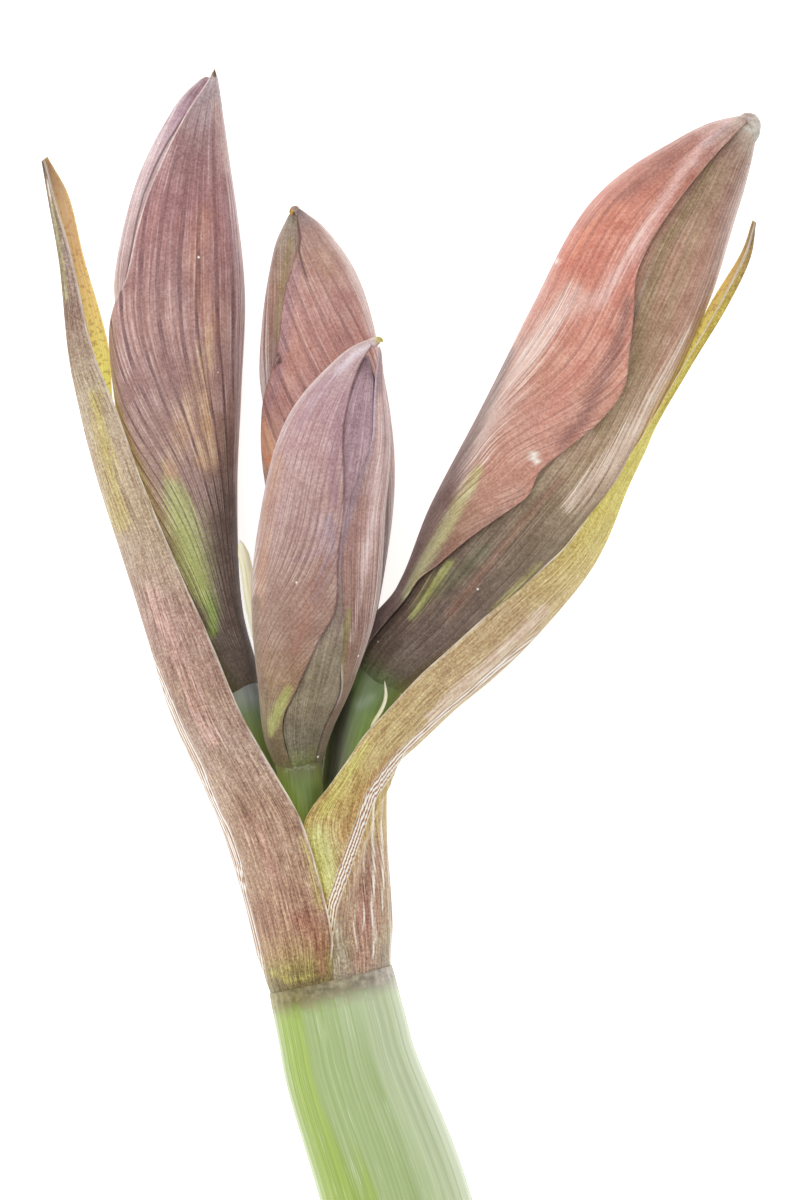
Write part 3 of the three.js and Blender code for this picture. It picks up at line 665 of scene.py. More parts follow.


# Tepal skin: velvety and softly glossy, with fanned veins, streaks, fine grain and scattered pale dots.
# Its attributes: ground and spots are the colours, painted highlights and shadow lines among them, fan
# counts the veins across and runs in decimetres along, veined is how dark the veins are, and the shadow
# line's attribute is the distance from a line of painted shadow, where one tepal's margin lies over the
# next.
tepal_skin, put = new_material("tepal_skin")
bodily = put("TexCoord").outputs["Object"]
fan = put("Attribute", attribute_name="fan").outputs["Vector"]
veined = put("Attribute", attribute_name="veined").outputs["Fac"]
crease = put("SeparateXYZ", {0: put("Attribute", attribute_name="crease").outputs["Vector"]})
streaks = drawn_out(put, fan, (7.0, 4.0, 1.0), 4.0, 0.7)
wobble = drawn_out(put, fan, (0.6, 4.0, 1.0), 3.0)
mottle, cells, tone = speckled_skin(put, bodily, streaks)
wandering = put("Math", {0: wobble, 1: 0.8}, operation="MULTIPLY")
phase = put("Math", {0: put("SeparateXYZ", {0: fan}), 1: wandering}, operation="ADD")
wave, closer = [
    put("Math", {0: put("Math", {0: phase, 1: turns * 2 * np.pi}, operation="MULTIPLY")}, operation="SINE")
    for turns in (1, 3)
]
vein_line = put("MapRange", {"Value": wave, "From Min": 0.4}, interpolation_type="SMOOTHSTEP")
uneven = put("MapRange", {"Value": mottle, "From Min": 0.35, "From Max": 0.62, "To Min": 0.15})
veined = put("Math", {0: uneven, 1: veined}, operation="MULTIPLY")
vein_mask = put("Math", {0: vein_line, 1: veined}, operation="MULTIPLY")
tone = put("Mix", {"Factor": vein_mask, "A": tone, "B": "#9a8892"}, blend_type="MULTIPLY")
thin_line = put("MapRange", {"Value": closer, "From Min": 0.5})
broken = put("MapRange", {"Value": streaks, "From Min": 0.46, "From Max": 0.6, "To Max": 0.45})
thin_mask = put("Math", {0: thin_line, 1: broken}, operation="MULTIPLY")
thin_mask = put("Math", {0: thin_mask, 1: veined}, operation="MULTIPLY")
tone = put("Mix", {"Factor": thin_mask, "A": tone, "B": "#ead8d4"})
tone = grained(
    put, tone,
    (streaks, 0.85, {0.32: "#8c8686", 0.5: "#bcbcbc", 0.68: "#e6e4e2"}),
    (mottle, 0.6, {0.35: "#98908e", 0.65: "#dadad8"}),
    (cells, 0.45, {0.36: "#6c6c6c", 0.64: "#f0f0f0"}),
)
# Painted shadow: a dark line along the gap where one tepal's margin lies over the next.
off_gap_shadow = put("Math", {0: crease}, operation="ABSOLUTE")
gap_shadow_line = put("MapRange", {
    "Value": off_gap_shadow, "From Min": 0.08, "From Max": 0.3, "To Min": 0.8, "To Max": 0.0,
})
gap_shadow_mask = put("Math", {0: gap_shadow_line, 1: crease.outputs["Y"]}, operation="MULTIPLY")
tone = put("Mix", {"Factor": gap_shadow_mask, "A": tone, "B": "#5c4240"})
dots = put("TexVoronoi", {"Vector": bodily, "Scale": 300.0})
dot_mask = put("MapRange", {"Value": dots, "From Min": 0.08, "From Max": 0.05})
chosen = put("Math", {0: put("SeparateXYZ", {0: dots.outputs["Color"]}), 1: 0.9}, operation="GREATER_THAN")
dot_share = put("Math", {0: dot_mask, 1: chosen}, operation="MULTIPLY")
height = put("Math", {0: wave, 1: -0.15, 2: streaks}, operation="MULTIPLY_ADD")
fine = put("Bump", {"Strength": 0.25, "Distance": 0.0001, "Height": cells})
put("OutputMaterial", {"Surface": put("BsdfPrincipled", {
    "Base Color": put("Mix", {"Factor": dot_share, "A": tone, "B": "#f6efea"}),
    "Normal": put("Bump", {"Strength": 0.5, "Distance": 0.00025, "Height": height, "Normal": fine}),
    "Roughness": 0.45, "IOR": 1.42, "Specular IOR Level": 0.4,
    "Subsurface Weight": 0.15, "Subsurface Radius": (1.0, 0.5, 0.4), "Subsurface Scale": 0.001,
    "Sheen Weight": 0.3, "Sheen Roughness": 0.35, "Sheen Tint": "#f6e9ea",
})})

# The looks of the three tepals of each bud: the ground from base to tip, the veins counted over half a
# tepal, sweep as how far they fan out to the margins, lean as [veins crossed, share where that ends],
# share as how dark they are, the colours of the left and right rim (pale, or a dark line of painted
# shadow), how strong the painted highlights down the left and right flank are, a line of painted shadow
# as [x, y] drawn from above, and the strokes, some of them painted highlights. What a tepal doesn't name
# is as in the plain one, and some have the ground of another tepal of their bud.
PLAIN_TEPAL = {
    "veins": 10, "sweep": 0.1, "lean": [0, 1], "share": 0.35, "flank_highlights": [0.5, 0.5], "crease": [],
}
TEPAL_LOOKS = {
    ("left", 0): {
        "ground": {
            0: "#696c68", 0.03: "#584d4b", 0.12: "#665754", 0.22: "#85706e", 0.3: "#9e857e", 0.4: "#a98b82",
            0.5: "#a68580", 0.6: "#af8a84", 0.66: "#a7817e", 0.75: "#a77a78", 0.83: "#a07777",
            0.9: "#9e7e7e", 0.96: "#ad999b", 1: "#b7a7a9",
        },
        "veins": 20, "sweep": 0.6, "lean": [-2, 0.6], "share": 0.85, "rims_and_gap_shade": ["#ecd9d5", "#c9adab"],
        "flank_highlights": [0, 1.2],
        "soft": [
            ["#6a5d57", 1.1, [-24.9, 37.3, 3.67], [-25.6, 44, 3.67], [-26.9, 52.3, 3.67], [-28.2, 60.7, 3],
             [-28.9, 70.7, 2]],
            ["#7a685f", 0.7, [-27.2, 54, 1.67], [-28.2, 64, 1.67], [-28.6, 74, 1.5], [-28.4, 82.3, 0.83]],
            ["#b8949a", 0.6, [-28.9, 120.7, 1], [-27.2, 112.3, 1.17], [-26.6, 102.3, 1.17],
             [-26.9, 90.7, 0.83]],
            ["#bd8c76", 0.5, [-32.4, 118.2, 1.33], [-34.1, 110.7, 1.67], [-31.2, 99, 1.67]],
            ["#c8a8a0", 0.6, [-30.9, 137.3, 0.5], [-29.9, 132.3, 0.67], [-28.9, 125.7, 0.67]],
        ],
        "streaked": [
            ["#8f7d76", 0.5, [-28.9, 70.7, 2], [-28.6, 80.7, 1.33]],
            ["#6f5d55", 0.7, [-27.2, 52.3, 5], [-29.6, 65.7, 4.33], [-29.6, 75.7, 3], [-29.1, 84, 1.5]],
            ["#b6c07a", 1.35, [-38.9, 77, 0.83], [-37.6, 72.3, 1.83], [-35.9, 67.3, 2.5],
             [-34.4, 61.5, 2.5], [-32.8, 55.7, 1.67], [-31.2, 52, 1], [-30.9, 48.7, 0.67]],
            ["#97b05c", 1.1, [-31.4, 54, 0.83], [-30.8, 50.7, 0.67], [-31.1, 48.3, 0.5]],
            ["#cfae8c", 0.6, [-37.9, 75.7, 1.67], [-35.8, 84, 2.67], [-32.4, 94, 2.33], [-31.6, 99, 1.33]],
            ["#8c6a6c", 0.45, [-36.6, 104, 1.67], [-38.2, 118.2, 1.33], [-35.8, 129, 1.33]],
            ["#d2b088", 0.8, [-32.4, 88.2, 1.5], [-32.1, 82.3, 1.83], [-32.4, 77.3, 1.67]],
        ],
    },
    ("left", 1): {
        "ground": {
            0: "#534542", 0.3: "#7e6460", 0.55: "#ac8889", 0.65: "#be9d9f", 0.75: "#c6a9aa",
            0.85: "#d0b6b9", 0.93: "#bc9da9", 0.97: "#a48890", 1: "#bdabb1",
        },
        "veins": 8, "sweep": 0.2, "rims_and_gap_shade": ["#ecd9d5", "#d9c2c0"], "flank_highlights": [0.8, 0],
        # A line of painted shadow along the margin of the tepal over it.
        "crease": [[-35.6, 135.3], [-38.6, 130.7], [-40.8, 126.5], [-42.8, 121.5], [-43.9, 117],
                   [-45.1, 110.3], [-45.9, 105.7], [-47.2, 102.3]],
        "streaked": [
            ["#a98690", 0.9, [-32.2, 140.7, 0.67], [-33.9, 138.2, 0.67], [-35.6, 135.3, 0.5]],
            ["#b08e8c", 0.7, [-36.9, 132.7, 0.5], [-39.9, 127.3, 0.5], [-41.9, 122.3, 0.5],
             [-44.2, 116.5, 0.5], [-46.2, 108.2, 0.5]],
        ],
    },
    ("left", 2): {
        "ground like": 0, "veins": 8, "sweep": 0.2, "share": 0.6, "rims_and_gap_shade": ["#d9c2c0", "#d9c2c0"],
    },
    ("back", 0): {
        "ground": {
            0: "#4a403e", 0.155: "#564a47", 0.3: "#847374", 0.42: "#997f7c", 0.5: "#bb9383",
            0.62: "#b1837b", 0.7: "#ba8a80", 0.8: "#bb8f87", 0.9: "#b28e81", 0.95: "#a8877e",
            0.985: "#917e7a", 1: "#7e6d68",
        },
        # Its left rim is a dark line of painted shadow.
        "veins": 8, "sweep": 0, "lean": [-12, 1.3], "share": 0.6, "rims_and_gap_shade": ["#8a6a66", "#d9c4ba"],
        "flank_highlights": [0, 1.2],
        # A line of painted shadow near the tip, drawn from above.
        "crease": [[-17.2, 118.5], [-16.8, 116.5], [-16.5, 114.7], [-16.7, 112.2], [-16.2, 110.2],
                   [-15.6, 108.3]],
        "soft": [
            ["#e0a98a", 1.3, [-23.2, 83.2, 1], [-22.2, 79.8, 1.33], [-21.4, 76.7, 1]],
            ["#a98588", 0.8, [-16.6, 110.3, 0.5], [-18.1, 105.7, 1], [-18.8, 99.8, 1.17], [-19.8, 94.8, 1],
             [-20.6, 89.8, 0.83], [-21.6, 86.5, 0.67]],
            ["#c69486", 0.4, [-17.1, 101.5, 1], [-16.9, 96.5, 1.33], [-17.9, 90.7, 1.17]],
            ["#ac837c", 0.6, [-9.1, 104, 1.33], [-8.8, 97.3, 1.33]],
            ["#ba9884", 0.6, [-12.9, 111.5, 1], [-11.6, 108.2, 1]],
            ["#5a4238", 1.3, [-20.9, 94.9, 0.2], [-20, 94.6, 0.22], [-19.8, 93.7, 0.22],
             [-20.7, 93.1, 0.2]],
        ],
        "streaked": [
            ["#d98f66", 0.7, [-23.4, 80.7, 0.5], [-22.2, 77.8, 0.67], [-21.4, 76, 0.5]],
            # Painted highlight: a pink-white line down the bud's right side.
            ["#e0cdc6", 1.3, [-13.6, 118, 0.5], [-10.8, 114.5, 0.83], [-8.2, 110.3, 1], [-5.9, 104.7, 1],
             [-4.2, 99, 1]],
        ],
    },
    ("back", 1): {
        "ground": {
            0: "#574b49", 0.3: "#867576", 0.5: "#a58780", 0.68: "#a78b84", 0.76: "#af9184", 0.85: "#b2917d",
            0.93: "#a48d7e", 0.98: "#a19585", 1: "#8f877a",
        },
        "veins": 6, "sweep": 0, "share": 0.3, "rims_and_gap_shade": ["#d9c4ba", "#a58c78"], "flank_highlights": [0.8, 0],
        "soft": [
            ["#a08e68", 0.7, [-18.2, 114, 0.5], [-19.2, 108.2, 0.67], [-19.9, 103.2, 0.67],
             [-20.6, 97.3, 0.5]],
            ["#c3a096", 0.7, [-21.2, 105.7, 0.5], [-22.2, 99, 0.5], [-22.8, 92.3, 0.5]],
        ],
    },
    ("back", 2): {
        "ground like": 0, "veins": 6, "sweep": 0, "share": 0.4, "rims_and_gap_shade": ["#d9c4ba", "#d9c4ba"],
    },
    ("front", 0): {
        "ground": {
            0: "#6c6842", 0.03: "#6c5d46", 0.08: "#7a6848", 0.14: "#867255", 0.2: "#9d8064", 0.3: "#a08271",
            0.42: "#aa8c7f", 0.55: "#b2928d", 0.65: "#bb9b96", 0.75: "#bc9a9b", 0.85: "#b9989d",
            0.95: "#bea3a2", 1: "#b9a29a",
        },
        # Its right rim is a dark line of painted shadow.
        "veins": 14, "sweep": 0.2, "lean": [20, 0.6], "share": 0.5, "rims_and_gap_shade": ["#dccdd6", "#6f4f50"],
        "flank_highlights": [0.9, 0],
        "soft": [
            ["#a9868f", 0.8, [-8.6, 88.2, 0.67], [-10.2, 82.3, 0.83], [-10.8, 75.7, 1],
             [-10.6, 69.8, 0.83]],
            ["#a98070", 0.8, [-12.2, 60.7, 1], [-13.9, 55.7, 1.5], [-15.6, 50.7, 1.5], [-16.9, 45.7, 1]],
            ["#ddced4", 1, [-9.9, 92, 0.67], [-7.4, 94.5, 0.67], [-4.9, 96, 0.5]],
        ],
        "streaked": [
            ["#c0977d", 0.9, [-19.9, 77.3, 1], [-21.6, 69, 1.17], [-22.6, 60.7, 1], [-23.2, 52.3, 0.83]],
            ["#85705a", 1, [-23.8, 54, 0.67], [-23.6, 45.7, 0.67], [-22.6, 39, 0.83]],
            ["#9a8a9c", 0.55, [-11.4, 67.3, 1.17], [-10.9, 62.3, 1.33], [-12.6, 57.3, 1.33],
             [-13.9, 54, 1]],
            # Painted sheen: a lavender sheen over the middle of the tepal.
            ["#b29cae", 0.35, [-13.6, 67.3, 1.33], [-12.2, 62.3, 0.83], [-16.6, 60.7, 1.33]],
            ["#b0b466", 1.2, [-18.2, 39.3, 0.67], [-19.8, 36.3, 1], [-20.8, 33.7, 1], [-21.2, 31.7, 0.5]],
            ["#5d4a3c", 0.9, [-22.6, 31.5, 0.67], [-21.2, 29, 0.83], [-19.9, 26.5, 0.83]],
            ["#bca6b4", 0.6, [-9.4, 93, 0.5], [-13.6, 87.3, 0.5], [-16.9, 81.5, 0.5]],
        ],
    },
    ("front", 1): {
        "ground": {
            0: "#666c47", 0.03: "#6a5f4d", 0.12: "#766250", 0.22: "#866b55", 0.34: "#917163",
            0.47: "#a07c72", 0.6: "#ad8980", 0.7: "#aa8a85", 0.8: "#a38588", 0.9: "#aa8c8f", 1: "#aa9497",
        },
        "share": 0.4, "rims_and_gap_shade": ["#c8b6c2", "#ece2e4"], "flank_highlights": [0, 1.1],
        "soft": [
            ["#d1b1ab", 0.8, [-3.1, 87.3, 0.83], [-3.2, 77.3, 1.17], [-4.2, 67.3, 1.33], [-5.9, 59, 1]],
            ["#a8929c", 0.8, [-4.8, 79, 0.5], [-6.6, 74, 0.67], [-8.1, 68.7, 0.67], [-9.6, 63.2, 0.67],
             [-10.8, 56.5, 0.5]],
            ["#7a5e52", 0.7, [-10.2, 59, 0.67], [-10.8, 50.7, 0.67], [-10.2, 44, 0.5]],
        ],
        "streaked": [
            # Painted highlight: white streaks down the tepal's right edge.
            ["#e6d0cc", 0.5, [-3.1, 87.3, 0.67], [-3.1, 79, 0.83], [-3.6, 70.7, 1], [-5.1, 62.3, 1],
             [-6.6, 54, 0.83], [-7.8, 47.3, 0.67]],
            ["#a6a260", 0.7, [-8.2, 52.3, 0.5], [-9.2, 45.7, 0.67], [-9.8, 39, 0.5]],
        ],
    },
    ("front", 2): {
        "ground like": 1, "rims_and_gap_shade": ["#dccdd6", "#dccdd6"],
    },
    ("right", 0): {
        "ground": {
            0: "#5b6443", 0.03: "#54473f", 0.08: "#624d44", 0.15: "#836256", 0.24: "#a8836f",
            0.34: "#c2917e", 0.44: "#c59484", 0.52: "#c99481", 0.61: "#cd8f7d", 0.7: "#cc8876",
            0.78: "#c98573", 0.86: "#b47867", 0.93: "#b4857a", 1: "#c5b3a6",
        },
        "veins": 17, "sweep": 0.5, "lean": [10, 0.6], "share": 0.4, "rims_and_gap_shade": ["#cbb3ae", "#b08a7c"],
        "flank_highlights": [0.3, 0],
        "soft": [
            # Painted highlight: a pale pink strip across the tepal.
            ["#dcb9ae", 0.7, [20.1, 94, 2], [26.8, 102.3, 2.33], [33.4, 104, 1.33]],
            # Painted highlight: a pale pink line running up to the tip.
            ["#dfb6ae", 0.9, [33.1, 103.7, 1.17], [38.8, 111.2, 1.33], [42.8, 118, 1.17], [45.9, 123.5, 1],
             [48.8, 127.7, 0.83], [52.1, 131.7, 0.67], [55.1, 134, 0.5]],
            ["#a87468", 0.9, [31.8, 116.5, 1], [38.4, 122.3, 1.17], [44.2, 126.8, 1.17],
             [49.2, 130.7, 0.83]],
            ["#9c7066", 0.9, [38.1, 104, 0.83], [36.4, 96.5, 1.33], [33.4, 89.8, 1.5], [30.1, 83.2, 1.33],
             [26.8, 79.8, 0.83]],
            ["#cd8d7e", 0.6, [30.9, 94.8, 1.33], [26.8, 87.3, 1.67], [23.4, 82.3, 1.33]],
            ["#c49887", 0.6, [15.1, 70.7, 1.33], [18.4, 72.3, 1.33], [20.9, 74.8, 0.83]],
            ["#a88478", 0.7, [11.8, 64.8, 0.83], [16.8, 68.7, 0.67], [20.9, 72.3, 0.5]],
            ["#8a7670", 1.2, [-4.6, 42.7, 2.33], [-0.2, 54, 2], [5.1, 65.7, 2], [8.8, 74, 2],
             [13.1, 83.2, 1.5], [16.2, 89.8, 1], [18.8, 95.7, 0.5]],
            ["#64554f", 1.2, [-4.1, 42, 2.67], [-0.8, 47.3, 2.67], [1.4, 52.3, 1.67]],
            ["#bfa6a4", 0.8, [50.9, 129.8, 0.67], [54.8, 133.3, 0.67]],
            ["#f2ece0", 1.4, [22.2, 78.2, 0.5], [22.9, 77, 0.5]],
            ["#f6f0ea", 1.3, [26.3, 110.5, 0.27], [26.7, 110, 0.27]],
            ["#f6f0ea", 1.2, [49.2, 127, 0.3], [49.6, 126.7, 0.3]],
        ],
        "streaked": [
            ["#8a706a", 0.9, [0.1, 54, 3], [6.8, 67.3, 3], [13.4, 80.7, 2.67], [18.4, 90.7, 2],
             [21.4, 97.3, 1.33]],
            # Painted highlights: pale pink streaks along the tepal.
            ["#ecd8ce", 0.55, [11.8, 74, 1.67], [15.9, 83.2, 2.33], [20.9, 92.3, 2.67], [25.1, 99.8, 2.67],
             [28.8, 105.7, 2]],
            # Painted highlight: a pale pink streak near the tip.
            ["#efcdc2", 0.5, [33.4, 104, 1.33], [38.1, 110.3, 1.33], [42.6, 119, 1]],
            ["#cf8168", 0.9, [27.8, 110.3, 1.67], [31.8, 115.3, 1.67], [36.8, 119.8, 1.33]],
            ["#cfcf9a", 1.25, [13.4, 75.7, 0.67], [11.1, 71.5, 1], [8.4, 66.5, 1], [5.4, 62, 0.83],
             [2.8, 57.7, 0.67], [1.1, 54.8, 0.5]],
        ],
    },
    ("right", 1): {
        "ground": {
            0: "#617746", 0.025: "#635748", 0.08: "#6b5a4f", 0.18: "#746255", 0.26: "#7d6c59",
            0.35: "#97856d", 0.44: "#b29980", 0.52: "#bc9d86", 0.6: "#b8937c", 0.7: "#b18975",
            0.78: "#b58c79", 0.88: "#aa8777", 0.95: "#9d8171", 1: "#cfc4b5",
        },
        "rims_and_gap_shade": ["#8a7660", "#d9c2b6"], "flank_highlights": [0, 0.9],
        "soft": [
            ["#a38c6e", 0.6, [54.2, 126.5, 0.83], [51.8, 120.7, 1.17], [48.4, 113.2, 1.33],
             [45.4, 104, 1.33], [42.6, 95.7, 1.33], [40.1, 88.2, 1.33], [35.9, 80.7, 1.5],
             [29.2, 74.8, 1.5]],
            ["#a07c70", 0.6, [55.6, 122.3, 0.83], [53.1, 112.3, 1], [50.4, 104, 1]],
            ["#6a6a4e", 0.7, [6.8, 55.7, 1.33], [10.4, 58.7, 1.5], [14.2, 62.3, 1.33]],
            ["#8d6a56", 0.7, [26.8, 74, 0.67], [20.1, 66.5, 0.67], [14.2, 59, 0.67], [8.4, 51.5, 0.67]],
            ["#e0dbd1", 1, [56.8, 133.7, 0.83], [58.8, 133.2, 1]],
            ["#93805f", 0.8, [52.1, 126.5, 0.83], [49.2, 120.7, 1.33], [44.2, 113.2, 1.5],
             [40.9, 102.3, 1.5], [39.2, 92.3, 1.5], [33.4, 82.3, 1.67]],
        ],
        "streaked": [
            ["#e0cab8", 1.1, [48.4, 99, 0.67], [44.2, 90.7, 1.17], [40.1, 84, 1.5], [34.2, 76.5, 1.67],
             [28.4, 69.8, 1.33]],
            ["#aeb46a", 1.2, [8.6, 60.3, 0.67], [6.4, 57.3, 1.17], [4.1, 54, 1], [2.1, 51.2, 0.67]],
            ["#aea75f", 0.8, [23.4, 59.8, 0.83], [19.2, 55.7, 0.83], [15.1, 51.5, 0.67]],
        ],
    },
    ("right", 2): {
        "ground like": 1, "rims_and_gap_shade": ["#d9c2b6", "#d9c2b6"],
    },
}
# The small hard points on the tips: their colours, and stations [x, y, z, radius] in millimetres.
TIPS = {
    "left": [["#8a7468", "#6e5238"], [-31.3, 140, 12.3, 0.5], [-31.1, 141.2, 12.5, 0.45],
             [-30.9, 142.2, 12.6, 0.35], [-30.9, 142.9, 12.6, 0.2]],
    "back": [["#957f78", "#cda23c"], [-17, 119, 12, 0.9], [-17.5, 119.3, 12.2, 0.7],
             [-17.9, 119, 12.2, 0.5], [-18, 118.3, 12.2, 0.35]],
    "front": [["#cbb6b8", "#b4ad3e"], [-4.8, 96.3, 36, 0.9], [-3.8, 96.8, 36.3, 0.75],
              [-3.1, 97, 36.3, 0.55], [-2.6, 96.7, 36.2, 0.35]],
    "right": [["#c3c0b6", "#b9a69e"], [59.1, 130, 15.6, 0.5], [59.5, 132.2, 15.9, 0.85],
              [59.3, 133.9, 16, 1], [57.9, 134.7, 16, 0.95], [56.6, 134.4, 16, 0.7]],
}
# Hard callus: dry and horny, pale to brown, with a dull shine.
tip_paint, put = new_material("tepal_tip_callus")
tip_noise = put("TexNoise", {"Vector": put("TexCoord").outputs["Object"], "Scale": 1300.0, "Detail": 3.0})
tip_ground = put("Attribute", attribute_name="ground")
put("OutputMaterial", {"Surface": put("BsdfPrincipled", {
    "Base Color": grained(put, tip_ground, (tip_noise, 0.7, {0.35: "#807c78", 0.65: "#e6e6e4"})),
    "Normal": put("Bump", {"Strength": 0.3, "Distance": 0.0001, "Height": tip_noise}),
    "Roughness": 0.5, "Subsurface Weight": 0.1, "Subsurface Scale": 0.001,
})})


TIP_GRID = (24, 24)
TUBE_RUN = 4.0            # millimetres over which the base narrows to the ovary
TUBE_LAP = 1.0            # how far it laps over the ovary
TUBE_ROOM = 0.25          # how far the outermost tepal's base stands off the ovary
TUBE_STEP = 0.1           # and how much nearer each tepal under it comes
TUBE_DIP = 0.7            # how far the end of the base dips in
ROLL = 0.2                # height of the roll along the margins of the outermost tepal
APEX_RADIUS = 0.2         # the least radius, in the closed apex
RIM = 0.35                # width of the rims: pale margins, and on some a line of painted shadow
RIM_SHARE = 0.8
VEINS_TOGETHER = 0.65     # share of a tepal at which its veins have run together as far as they do
FLANK = (92, 26)          # middle and width of the painted highlights along the flanks, in degrees round the bud
# The colour of the painted highlights down the flanks.
FLANK_HIGHLIGHT = linear("#efdeda")


def make_point(name):
    """The small hard point on a flower's tip."""
    (low, high), *stations = TIPS[name]
    line = Line(stations)

    def place(across, along):
        frames = line.frame(along)
        closing = rounded(along, 5, 3)
        return around(frames, across * 360, np.maximum(frames[0][:, 3] * closing, THINNEST))

    def marks(across, along, points):
        return {"ground": painted(along, {"ground": {0.3: low, 0.8: high}}, points, along)[0]}

    point = lay_grid("hard_point", TIP_GRID, place, marks, tip_paint)
    close_seams(point)
    return point


def make_tepal(name, order, looks):
    """One outer tepal with both its faces, and with the hard point if it is the outermost."""
    tepals = TEPALS[name]
    tepal = tepals[order]
    seed = 10 * sorted(TEPALS).index(name) + order
    length = LINES[name].total * (1 - STARTS[name]) * tepal["ends"]

    def facts(across, along):
        share = along * tepal["ends"]
        apex = np.clip((along - ROUND_FROM) / (1 - ROUND_FROM), 0, 1)
        left, right = smooth(tepal["left"], share), smooth(tepal["right"], share)
        frames = flower_frames(name, share)
        turned = (2 * across - 1) * np.where(across < 0.5, left, right)
        arc = np.pi / 180 * frames[0][:, 4]
        to_margin = np.minimum(turned + left, right - turned) * arc
        return share, frames, turned, apex, to_margin, along * length

    def place(across, along, inside):
        share, frames, turned, apex, to_margin, run = facts(across, along)
        degrees = tepal["rib"] + turned * np.sqrt(1 - 0.3 * apex**2)
        to_end = np.minimum(run, length - run)
        radius = flower_radius(name, frames, degrees, layers_over(tepals[:order], share, degrees))
        calm = fade(to_end, 0, 12) * fade(to_margin, 0, 3)
        radius += calm * LUMP_HEIGHT["tepal"] * unevenness(seed, across, along)
        radius += ROLL * bump(to_margin, 0, 1.2) * fade(to_end, 2, 10) * (order == 0)
        tube = 1 - fade(run, 0, TUBE_RUN)
        radius += tube * (frames[0][:, 3] + TUBE_ROOM - TUBE_STEP * order - radius)
        radius -= TUBE_DIP * (1 - fade(run, 0, 1.5))
        if inside:
            near = np.clip(np.minimum(to_margin, to_end) / MARGIN_ROUNDING, 0, 1)
            radius -= TEPAL_THICK * np.sqrt(1 - (1 - near) ** 2)
        radius *= 0.5 + 0.5 * np.sqrt(1 - apex**2)
        frames[0][:, :3] -= frames[1] * (TUBE_LAP * tube)[:, None]
        return around(frames, degrees, np.maximum(radius, APEX_RADIUS))

    def marks(across, along, points):
        _, _, turned, _, to_margin, run = facts(across, along)
        leftwards = across < 0.5
        reach = {}
        for side in ("left", "right"):
            widest = max(tepal[side], key=lambda row: row[1])[0]
            reach[side] = smooth(tepal[side], np.minimum(along * tepal["ends"], widest))
        swept = 1 - looks["sweep"] * fade(along, 0, VEINS_TOGETHER)
        fan = looks["veins"] * (turned / np.where(leftwards, reach["left"], reach["right"]) * swept)
        fan -= looks["lean"][0] * fade(along, -0.2, looks["lean"][1])
        flank = np.mod(tepal["rib"] + turned + 180, 360) - 180
        upward = fade(np.cos(np.radians(flank)), -0.3, 0.0)
        ground, spots = painted(along, looks, points, upward)
        # The rims: pale along most margins, and on some a dark line of painted shadow, where the margin lies
        # over the next tepal.
        rims_and_gap_shade = np.where(leftwards[:, None], *(linear(code) for code in looks["rims_and_gap_shade"]))
        at_rim = RIM_SHARE * (1 - fade(to_margin, 0.1, RIM)) * fade(run, 10, 16)
        ground += at_rim[:, None] * (rims_and_gap_shade - ground)
        # Painted highlights: pale streaks down the bud's flanks, where its sides turn away as seen from
        # above.
        for side, share in zip((-1, 1), looks["flank_highlights"]):
            pale = share * bump(side * flank, *FLANK) * fade(along, 0.15, 0.35)
            stronger = pale > spots[:, 3]
            spots[stronger] = FLANK_HIGHLIGHT
            spots[stronger, 3] = pale[stronger]
        # The line of painted shadow, only on the sides that face up.
        crease = from_line(points, looks["crease"])
        crease[:, 1] *= upward
        return {
            "ground": ground, "spots": spots, "crease": crease,
            "fan": np.stack([fan + 5 * seed, run / 100, np.full_like(fan, 0.7 * seed)], axis=-1),
            "veined": looks["share"] * fade(along, 0.0, 0.1) * (1 - 0.5 * fade(along, 0.6, 0.95)),
        }

    outer, inner = [
        lay_grid(face, TEPAL_GRID, partial(place, inside=inside), marks, tepal_skin, 0.6)
        for face, inside in ((f"{name}_outer_tepal_{order + 1}", False), ("inner_face", True))
    ]
    close_seams(inner, flip=True)
    parts = [inner] if order else [inner, make_point(name)]
    settle(outer, f"{name}_bud_outer_tepal_{order + 1}", parts)


for (bud_name, tepal_order), tepal_looks in TEPAL_LOOKS.items():
    like = TEPAL_LOOKS[bud_name, tepal_looks.get("ground like", tepal_order)]
    make_tepal(bud_name, tepal_order, {**PLAIN_TEPAL, "ground": like["ground"], **tepal_looks})


# The inner tepals: three more, still rolled tightly round one another inside the outer ones.
# Only slivers of them show, mauve near the tip and olive-green at the base.
CORE_GRID = (120, 110)
INNER_LEVEL = 0.15        # they lie this many layers deep where nothing covers them
CORE_GAP = 0.1            # air between them and what covers them
CORE_END = 0.955          # share of the flower at which they end
FURL_STEP = 0.3           # height of the margin that each rolls over the next
FURL_START = 60           # degrees at which the first margin stands at the base
FURL_TWIST = 70           # degrees that the margins turn from base to tip
CORE_VEINS = 24
